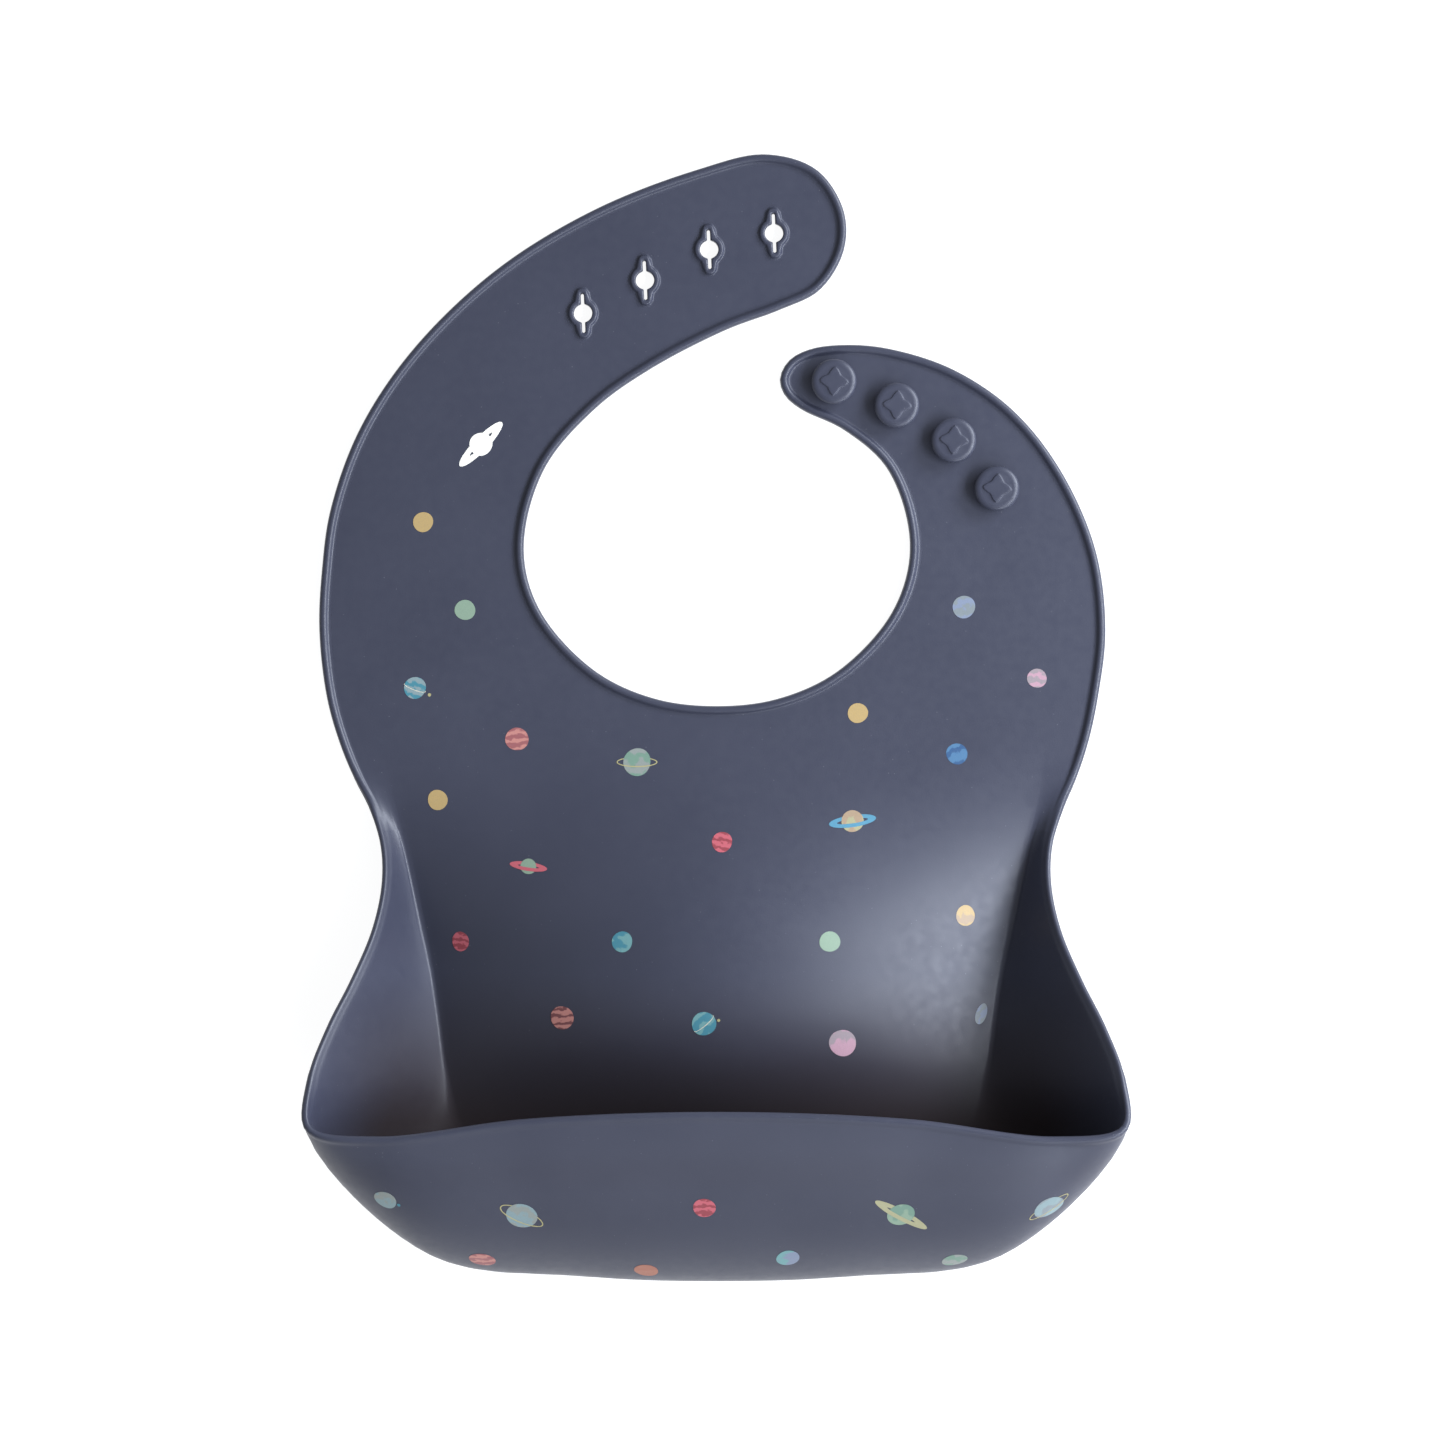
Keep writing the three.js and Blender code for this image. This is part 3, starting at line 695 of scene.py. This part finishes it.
def build_studs(look):
    """The four mushroom studs on the shorter strap."""
    angles, rings = stud_rings()
    grid = np.array(
        [
            np.stack([radius * np.cos(angles), radius * np.sin(angles), np.full(STUD_SEGMENTS, height)], 1)
            for radius, height in rings
        ]
    )
    for i, place in enumerate(STUDS):
        obj = lathe_object(f"stud_head_{i + 1}", grid + (*place, 0))
        finish_piece(obj, look, body=STUD_BODIES[i], nodes=f"stud_{i + 1}")


def lathe_object(name, grid):
    """A closed solid from rings of points, of which the first and last are single points."""
    count = grid.shape[1]
    inner = grid[1:-1].reshape(-1, 3)
    points = np.vstack([grid[0, :1], inner, grid[-1, :1]])
    last = len(points) - 1
    faces = []
    for i in range(count):
        j = (i + 1) % count
        faces.append((0, 1 + j, 1 + i))
        for ring in range(grid.shape[0] - 3):
            low, high = 1 + ring * count, 1 + (ring + 1) * count
            faces.append((low + i, low + j, high + j, high + i))
        top = last - count
        faces.append((top + i, top + j, last))
    return mesh_object(name, points, faces)


# ---- Prints -------------------------------------------------------------------------------

PRINT_LEVEL = 0.07  # how proud of the sheet a print's body stands
PRINT_ROOT = -0.06
RING_STEP = 0.03  # a ring's front passes over the body by this much and its back goes under
DISC_SHARES = (0, 0.35, 0.65, 0.86, 0.97, 1)  # rings of points, as shares of the radius
DISC_WOBBLE = ((2, 0.02), (3, 0.014))  # waves round a disc's outline and their heights
DISC_SEGMENTS = 44
RING_SEGMENTS = 96

PAINTS = {  # sRGB
    "cream": (214, 206, 184),
    "white": (246, 243, 232),
    "mustard": (177, 150, 98),
    "sand": (160, 137, 110),
    "green": (130, 152, 130),
    "deep_green": (108, 138, 120),
    "teal": (104, 150, 150),
    "deep_teal": (62, 126, 140),
    "sky": (126, 146, 148),
    "blue": (71, 112, 146),
    "deep_blue": (45, 82, 122),
    "ring_blue": (78, 136, 160),
    "haze": (122, 130, 133),
    "violet": (122, 132, 152),
    "pink": (146, 132, 136),
    "mauve": (178, 139, 152),
    "rose": (146, 84, 84),
    "red": (186, 88, 98),
    "deep_red": (142, 56, 64),
    "wine": (112, 62, 62),
    "orange": (160, 100, 78),
    "blush": (184, 122, 112),
    "grey_teal": (134, 140, 134),
    "yellow": (166, 158, 110),
    "lemon": (160, 156, 120),
}


def linear(paint):
    """A paint's colour in linear light."""
    share = np.array(PAINTS[paint]) / 255
    return np.where(share <= 0.04045, share / 12.92, ((share + 0.055) / 1.055) ** 2.4)


def turned(u, v, degrees):
    """Offsets in plan, turned anticlockwise."""
    c, s = math.cos(math.radians(degrees)), math.sin(math.radians(degrees))
    return u * c - v * s, u * s + v * c


class Print:
    """One or more thin printed shapes, laid on the sheet by a function of place and level."""

    def __init__(self):
        self.points = []
        self.faces = []
        self.light = []
        self.dark = []
        self.brush = []

    def _grid(self, place, rows, paint, brush):
        """Adds closed rows of (u, v, level) points and returns the number of the first."""
        first = len(self.points)
        flat = rows.reshape(-1, 3)
        self.points.extend(place(flat[:, 0], flat[:, 1], flat[:, 2]))
        light, dark = paint if isinstance(paint, tuple) else (paint, paint)
        self.light.extend([(*linear(light), 1)] * len(flat))
        self.dark.extend([(*linear(dark), 1)] * len(flat))
        self.brush.extend(brush)
        return first

    def disc(self, place, centre, radius, paint, bands=0, turn=0, squash=1.0, tilt=0):
        """A hand-painted disc, not quite round, with bands across it."""
        seed = len(self.points) % 17
        a = np.linspace(0, 2 * np.pi, DISC_SEGMENTS, endpoint=False)
        wobble = 1 + sum(
            height * np.sin(waves * a + (i + 1) * seed) for i, (waves, height) in enumerate(DISC_WOBBLE)
        )
        rows = []
        for share, height in [(share, PRINT_LEVEL) for share in DISC_SHARES] + [(1, PRINT_ROOT)]:
            size = radius * share * wobble
            u, v = turned(size * np.cos(a), squash * size * np.sin(a), tilt)
            rows.append(np.stack([centre[0] + u, centre[1] + v, np.full(len(a), height)], axis=1))
        rows = np.array(rows)
        u, v = rows[..., 0] - centre[0], rows[..., 1] - centre[1]
        across, along = turned(u / radius, v / radius, -turn)
        brush = np.stack([across, along * bands / 2, np.full(u.shape, seed)], axis=-1).reshape(-1, 3)
        first = self._grid(place, rows, paint, brush)
        count = DISC_SEGMENTS
        for i in range(count):
            j = (i + 1) % count
            self.faces.append((first, first + count + i, first + count + j))
            for row in range(1, len(rows) - 1):
                low, high = first + row * count, first + (row + 1) * count
                self.faces.append((low + i, high + i, high + j, low + j))
        low = first + (len(rows) - 1) * count
        self.faces.append(tuple(low + i for i in reversed(range(count))))

    def ring(self, place, reach, gap, turn, paint):
        """A flat ring round a body, with its outer and inner half sizes (reach and gap)."""
        a = np.linspace(0, 2 * np.pi, RING_SEGMENTS, endpoint=False)
        reach, gap = np.array(reach), np.array(gap)
        middle = (reach + gap) / 2
        top = PRINT_LEVEL - RING_STEP * np.sin(a)
        root = np.full(RING_SEGMENTS, PRINT_ROOT)
        grid = []
        for half, height in ((reach, top), (middle, top), (gap, top), (gap, root), (reach, root)):
            u, v = turned(half[0] * np.cos(a), half[1] * np.sin(a), turn)
            grid.append(np.stack([u, v, height], axis=1))
        grid = np.array(grid)
        first = self._grid(place, grid, paint, np.zeros((grid.shape[0] * grid.shape[1], 3)))
        count = RING_SEGMENTS
        for row in range(len(grid)):
            low, high = first + row * count, first + (row + 1) % len(grid) * count
            for i in range(count):
                j = (i + 1) % count
                self.faces.append((low + i, low + j, high + j, high + i))

    def object(self, name):
        """The shapes as one object of separate closed solids."""
        obj = mesh_object(name, self.points, self.faces, smooth=False)
        bm = bmesh.new()
        bm.from_mesh(obj.data)
        bmesh.ops.recalc_face_normals(bm, faces=bm.faces)
        bm.to_mesh(obj.data)
        bm.free()
        set_points(obj.data, "paint_light", "FLOAT_COLOR", self.light)
        set_points(obj.data, "paint_dark", "FLOAT_COLOR", self.dark)
        set_points(obj.data, "brush", "FLOAT_VECTOR", self.brush)
        return obj


def on_flat(x, y):
    """Places a print on the straps, the yoke or the chest panel."""

    def place(u, v, level):
        height = panel_height(x + u, y + v)
        return np.stack([x + u, y + v, SHEET + height + level], axis=1)

    return place


wall_along = np.array([lengths_along(section) for section in wall_points])


def wall_spot(column, down):
    """The wall's back face and its normal at a fractional column, some way down from the lip."""
    first = int(np.clip(column, 0, len(wall_points) - 2))
    share = column - first
    found = []
    for field in (wall_points, wall_normals):
        near, far = (
            [np.interp(down, wall_along[c], field[c, :, axis]) for axis in range(3)]
            for c in (first, first + 1)
        )
        found.append(np.array(near) * (1 - share) + np.array(far) * share)
    return found


def on_wall(column, down):
    """Places a print on the outside of the pocket's wall, level with the lip and down from it."""
    ahead, _ = wall_spot(column + 0.5, down)
    behind, _ = wall_spot(column - 0.5, down)
    step = np.linalg.norm(ahead - behind)

    def place(u, v, level):
        made = []
        for across, up, rise in zip(u, v, level):
            spot, normal = wall_spot(column - across / step, down - up)
            made.append(spot - normal * rise)
        return np.array(made)

    return place


def front_column(lip_x):
    """The column of the wall whose lip has this x, along the pocket's front."""
    lip = wall_points[:, 0, 0]
    front = np.flatnonzero(wall_points[:, 0, 1] < -95)
    return float(np.interp(-lip_x, -lip[front], front))


def planet(made, place, radius, paint, bands=0, turn=0, squash=1.0, tilt=0, rings=(), moons=()):
    """A planet with any rings (reach, gap, turn, paint) and moons (centre, radius, paint)."""
    made.disc(place, (0, 0), radius, paint, bands=bands, turn=turn, squash=squash, tilt=tilt)
    for reach, gap, ring_turn, ring_paint in rings:
        made.ring(place, reach, gap, ring_turn, ring_paint)
    for centre, moon_radius, moon_paint in moons:
        made.disc(place, centre, moon_radius, moon_paint)


RED_PAIR = ("red", "deep_red")
TEAL_PAIR = ("teal", "deep_teal")
GREEN_PAIR = ("grey_teal", "deep_green")
SKY_PAIR = ("sky", "grey_teal")
VIOLET_PAIR = ("violet", "haze")

# Prints on the flat parts: the part under each, its place, its radius and the planet's looks.
FLAT_PRINTS = [
    ("keyhole_2", (-63.5, 74.1), 3.1, dict(paint="white", rings=[((8.2, 1.9), (4.3, 0.5), 46, "white")])),
    ("keyhole_1", (-79.1, 53.1), 2.7, dict(paint="mustard")),
    ("keyhole_1", (-67.8, 29.4), 2.75, dict(paint="green")),
    (
        "yoke",
        (-81.3, 8.4),
        2.95,
        dict(
            paint=("sky", "deep_teal"),
            bands=2,
            turn=-18,
            rings=[((3.1, 0.7), (2.95, 0.53), -20, "cream")],
            moons=[((3.9, -1.9), 0.45, "yellow")],
        ),
    ),
    ("yoke", (-53.8, -5.4), 3.1, dict(paint=("blush", "rose"), bands=3, turn=6)),
    ("yoke", (-75.1, -21.8), 2.7, dict(paint="mustard")),
    (
        "yoke",
        (-21.4, -11.6),
        3.7,
        dict(paint=GREEN_PAIR, bands=1.5, rings=[((5.5, 1.35), (5.2, 1.05), 0, "yellow")]),
    ),
    ("pocket", (1.5, -32.9), 2.7, dict(paint=RED_PAIR, bands=2.5, turn=-12)),
    ("pocket", (-50.4, -39.5), 2.1, dict(paint="green", rings=[((5.1, 1.2), (2.9, 0.3), -8, "red")])),
    (
        "yoke",
        (36.5, -27.4),
        2.95,
        dict(paint=("lemon", "sand"), bands=1, rings=[((6.4, 1.6), (4.2, 0.6), 8, "ring_blue")]),
    ),
    ("yoke", (38.1, 1.6), 2.7, dict(paint="mustard")),
    ("yoke", (64.8, -9.4), 2.85, dict(paint=("blue", "deep_blue"), bands=1.5, turn=20)),
    ("stud_1", (66.7, 30.2), 3.05, dict(paint=("haze", "violet"), bands=1.5, turn=15)),
    ("stud_1", (86.4, 11), 2.6, dict(paint=("pink", "mauve"), bands=2)),
    ("pocket", (66.9, -52.8), 2.5, dict(paint=("sand", "mustard"), bands=1, squash=1.14)),
    ("pocket", (-68.8, -59.8), 2.3, dict(paint=RED_PAIR, bands=2.5, turn=-8, squash=1.14)),
    ("pocket", (-25.1, -59.3), 2.75, dict(paint=TEAL_PAIR, bands=1, turn=70)),
    ("pocket", (30.2, -59.3), 2.75, dict(paint="green")),
    ("pocket", (-41.2, -79.8), 3.1, dict(paint=("blush", "wine"), bands=3, turn=6)),
    (
        "pocket",
        (-3.3, -81),
        3.2,
        dict(
            paint=TEAL_PAIR,
            bands=2,
            turn=40,
            rings=[((3.35, 0.7), (3.2, 0.53), 40, "cream")],
            moons=[((3.9, 0.9), 0.4, "yellow")],
        ),
    ),
    ("pocket", (33.7, -86.5), 3.6, dict(paint=("mauve", "pink"), bands=1)),
    ("pocket", (71.3, -79.4), 1.5, dict(paint=VIOLET_PAIR, bands=1.5, turn=60, squash=1.9, tilt=-18)),
]

# Prints outside the pocket's front: the lip's x above each, how far down it is, its radius.
FRONT_PRINTS = [
    (-88.8, 20.3, 3.0, dict(paint=SKY_PAIR, bands=1, moons=[((3.4, -1.4), 0.45, "deep_teal")])),
    (
        -55.2,
        29.3,
        4.1,
        dict(paint=SKY_PAIR, bands=1.5, turn=-40, rings=[((6.2, 2.4), (5.9, 2.1), -40, "yellow")]),
    ),
    (-3.4, 28.8, 3.0, dict(paint=RED_PAIR, bands=2.5)),
    (
        52.5,
        29.2,
        3.6,
        dict(paint=("green", "deep_green"), bands=1, rings=[((8.8, 1.6), (4.7, 0.4), -28, "lemon")]),
    ),
    (
        90.1,
        23.4,
        3.9,
        dict(paint=("haze", "sky"), bands=1.5, turn=40, rings=[((5.8, 1.9), (5.55, 1.65), 42, "yellow")]),
    ),
    (-71, 45.8, 3.3, dict(paint=("blush", "rose"), bands=2.5)),
    (-23.3, 53.5, 3.1, dict(paint="orange")),
    (22.6, 47.3, 3.1, dict(paint=("violet", "teal"), bands=0.7, turn=80)),
    (72.2, 45.9, 3.1, dict(paint=GREEN_PAIR, bands=1)),
]


def build_prints(look):
    """The printed planets, as one piece for each bend of the sheet beneath them."""
    groups = {}
    for bend, place, radius, looks in FLAT_PRINTS:
        planet(groups.setdefault(bend, Print()), on_flat(*place), radius, **looks)
    for lip_x, down, radius, looks in FRONT_PRINTS:
        place = on_wall(front_column(lip_x), down)
        planet(groups.setdefault("front", Print()), place, radius, **looks)
    for bend, made in groups.items():
        obj = made.object(f"prints_{bend}")
        finish_piece(obj, look, bend="pocket" if bend == "front" else bend)


# ---- Materials ----------------------------------------------------------------------------


class Look:
    """A material under construction, with short ways to add and join its nodes."""

    def __init__(self, name):
        self.material = bpy.data.materials.new(name)
        self.material.use_nodes = True
        self.tree = self.material.node_tree
        self.tree.nodes.clear()
        self.shader = self.add("BsdfPrincipled")
        output = self.add("OutputMaterial")
        self.tree.links.new(self.shader.outputs[0], output.inputs["Surface"])

    def add(self, kind, inputs=None, **settings):
        """Adds a node, sets its properties, and sets or links its inputs."""
        node = self.tree.nodes.new("ShaderNode" + kind)
        for name, value in settings.items():
            setattr(node, name, value)
        for name, value in (inputs or {}).items():
            self.set(node.inputs[name], value)
        return node

    def set(self, socket, value):
        if isinstance(value, bpy.types.NodeSocket):
            self.tree.links.new(value, socket)
        else:
            socket.default_value = value

    def attribute(self, name, output="Vector"):
        return self.add("Attribute", attribute_name=name).outputs[output]

    def noise(self, vector, scale, detail):
        return self.add("TexNoise", {"Vector": vector, "Scale": scale, "Detail": detail}).outputs["Fac"]

    def remap(self, value, low, high, to_low, to_high):
        inputs = {"Value": value, "From Min": low, "From Max": high, "To Min": to_low, "To Max": to_high}
        return self.add("MapRange", inputs).outputs["Result"]

    def calculate(self, operation, *values):
        return self.add("Math", dict(enumerate(values)), operation=operation).outputs[0]

    def mix(self, share, colour_a, colour_b):
        """Mixes two colours, which are inputs 6 and 7 and output 2 of the node."""
        node = self.add("Mix", {"Factor": share, 6: colour_a, 7: colour_b}, data_type="RGBA")
        return node.outputs[2]

    def bump(self, height, distance, strength, under=None):
        inputs = {"Height": height, "Distance": distance, "Strength": strength}
        if under is not None:
            inputs["Normal"] = under
        return self.add("Bump", inputs).outputs["Normal"]


SILICONE = (0.032, 0.035, 0.058, 1)
SILICONE_CLOUD = (0.036, 0.039, 0.063, 1)
SILICONE_DUST = (0.30, 0.30, 0.33, 1)
# Painted shade deep inside the pocket: a darker, warmer painted colour and a duller gloss stand in for the
# shade in the pocket's recess.
SILICONE_PAINTED_SHADE = (0.03, 0.023, 0.025, 1)
SILICONE_SPECULAR = 0.75
SILICONE_SHADE_SPECULAR = 0.3
SILICONE_IOR = 1.41
INK_GRAIN = (0.12, 0.13, 0.16, 1)
INK_IOR = 1.45

# Where the painted shade deep inside the pocket lies: each pair is where that ends and where it begins.
SHADE_SIDE_X = (118, 92)
SHADE_BACK_Y = (-68, -108)
SHADE_FRONT_Y = (-124, -116)
SHADE_TOP_Z = (43, 14)


def painted_pocket_shade(look, rest):
    """A share that is 1 deep inside the pocket, where painted shade darkens the silicone and dulls its
    gloss.
    """
    place = look.add("SeparateXYZ", {"Vector": rest}).outputs
    away = look.calculate("ABSOLUTE", place["X"])
    share = look.remap(away, *SHADE_SIDE_X, 0, 1)
    for value, limits in (
        (place["Y"], SHADE_BACK_Y),
        (place["Y"], SHADE_FRONT_Y),
        (place["Z"], SHADE_TOP_Z),
    ):
        share = look.calculate("MULTIPLY", share, look.remap(value, *limits, 0, 1))
    return share


def silicone_look():
    """Matt moulded silicone: a faint mottle, a fine skin, a little dust and painted shade deep in the
    pocket.
    """
    look = Look("slate_blue_silicone")
    shader = look.shader.inputs
    rest = look.attribute("rest_place")
    cloud = look.remap(look.noise(rest, 0.035, 4), 0.35, 0.65, 0, 1)
    base = look.mix(cloud, SILICONE, SILICONE_CLOUD)
    cells = look.add("TexVoronoi", {"Vector": rest, "Scale": 0.55}).outputs["Distance"]
    speck = look.remap(cells, 0.035, 0.075, 1, 0)
    few = look.remap(look.noise(rest, 0.2, 1), 0.5, 0.62, 0, 1)
    dust = look.remap(look.calculate("MULTIPLY", speck, few), 0, 1, 0, 0.35)
    # Painted shade: a darker, warmer colour and a duller gloss deep inside the pocket.
    shade_share = painted_pocket_shade(look, rest)
    look.set(shader["Base Color"], look.mix(shade_share, look.mix(dust, base, SILICONE_DUST), SILICONE_PAINTED_SHADE))
    gloss = look.remap(shade_share, 0, 1, SILICONE_SPECULAR, SILICONE_SHADE_SPECULAR)
    look.set(shader["Specular IOR Level"], gloss)
    look.set(shader["Roughness"], look.remap(look.noise(rest, 0.4, 3), 0.3, 0.7, 0.4, 0.48))
    waves = look.bump(look.noise(rest, 0.05, 1), 0.0005, 0.05)
    look.set(shader["Normal"], look.bump(look.noise(rest, 2.6, 3), 0.00004, 0.35, under=waves))
    shader["IOR"].default_value = SILICONE_IOR
    shader["Sheen Weight"].default_value = 0.04
    shader["Sheen Roughness"].default_value = 0.45
    return look.material


def print_look():
    """Printed colour with soft bands, a fine grain and the silicone's own gloss."""
    look = Look("printed_colour")
    shader = look.shader.inputs
    brush = look.attribute("brush")
    rest = look.attribute("rest_place")
    along = look.add("SeparateXYZ", {"Vector": brush}).outputs["Y"]
    sway = look.remap(look.noise(brush, 1.3, 3), 0.3, 0.7, -0.32, 0.32)
    turns = look.calculate("ADD", along, sway)
    wave = look.calculate("SINE", look.calculate("MULTIPLY", turns, 2 * math.pi))
    band = look.remap(wave, -0.25, 0.45, 0, 1)
    light, dark = (look.attribute(name, "Color") for name in ("paint_light", "paint_dark"))
    grain = look.remap(look.noise(rest, 3.2, 3), 0.3, 0.7, 0, 0.16)
    look.set(shader["Base Color"], look.mix(grain, look.mix(band, light, dark), INK_GRAIN))
    look.set(shader["Roughness"], look.remap(look.noise(rest, 1.1, 2), 0.3, 0.7, 0.38, 0.5))
    look.set(shader["Normal"], look.bump(look.noise(rest, 4, 2), 0.00003, 0.3))
    shader["IOR"].default_value = INK_IOR
    return look.material


# ---- Studio -------------------------------------------------------------------------------

CAMERA_PLACE = (1.62, -0.945, 1200)
CAMERA_LENS = 110.7
CAMERA_SENSOR = 36
FLOOR_SIZE = 5.0  # the floor and the lights are in metres
FLOOR_DROP = 0.0003
LIGHT_COLOUR = (0.84, 0.9, 1)
SKY_COLOUR = (0.92, 0.96, 1, 1)
SKY_STRENGTH = 0.41

# Each soft light's name, place, target, width, height and power in watts.
SOFT_LIGHTS = [
    ("key", (0.57, -0.10, 0.52), (0.03, -0.05, 0), 0.55, 0.3, 7.1),
    ("side", (0.98, 0.6, 0.56), (0.05, 0.1, 0), 0.7, 0.4, 18.5),
    ("front", (0.55, -1.0, 0.66), (0, -0.1, 0), 0.8, 0.5, 7.1),
]


def floor_look():
    """A plain pale floor with the faintest unevenness."""
    look = Look("pale_floor")
    shader = look.shader.inputs
    place = look.add("NewGeometry").outputs["Position"]
    tone = look.mix(look.noise(place, 6, 2), (0.30, 0.30, 0.30, 1), (0.32, 0.32, 0.32, 1))
    look.set(shader["Base Color"], tone)
    shader["Roughness"].default_value = 0.9
    shader["Specular IOR Level"].default_value = 0.1
    shader["Emission Color"].default_value = (1, 1, 1, 1)
    shader["Emission Strength"].default_value = 0.9
    return look.material


def build_floor():
    half = FLOOR_SIZE / 2
    corners = [(-half, -half), (half, -half), (half, half), (-half, half)]
    mesh = bpy.data.meshes.new("floor")
    mesh.from_pydata([(x, y, -FLOOR_DROP) for x, y in corners], [], [(0, 1, 2, 3)])
    obj = bpy.data.objects.new("floor", mesh)
    obj.data.materials.append(floor_look())
    bpy.context.scene.collection.objects.link(obj)


def soft_light(name, place, target, width, height, power):
    """A rectangular soft light that faces a target."""
    data = bpy.data.lights.new(name, "AREA")
    data.shape = "RECTANGLE"
    data.size = width
    data.size_y = height
    data.energy = power
    data.color = LIGHT_COLOUR
    light = bpy.data.objects.new(name, data)
    light.location = place
    light.rotation_euler = (Vector(target) - Vector(place)).to_track_quat("-Z", "Y").to_euler()
    bpy.context.scene.collection.objects.link(light)


def build_studio():
    """The camera straight above the bib, the lights, the even sky and the floor."""
    data = bpy.data.cameras.new("camera")
    data.lens = CAMERA_LENS
    data.sensor_width = CAMERA_SENSOR
    camera = bpy.data.objects.new("camera", data)
    camera.location = [v * MM for v in CAMERA_PLACE]
    bpy.context.scene.collection.objects.link(camera)
    bpy.context.scene.camera = camera
    for light in SOFT_LIGHTS:
        soft_light(*light)
    world = bpy.data.worlds.new("studio")
    world.use_nodes = True
    sky = world.node_tree.nodes["Background"].inputs
    sky["Color"].default_value = SKY_COLOUR
    sky["Strength"].default_value = SKY_STRENGTH
    bpy.context.scene.world = world
    bpy.context.scene.view_settings.view_transform = "Standard"
    build_floor()


build_studio()
silicone = silicone_look()
build_parts(silicone)
build_studs(silicone)
build_prints(print_look())
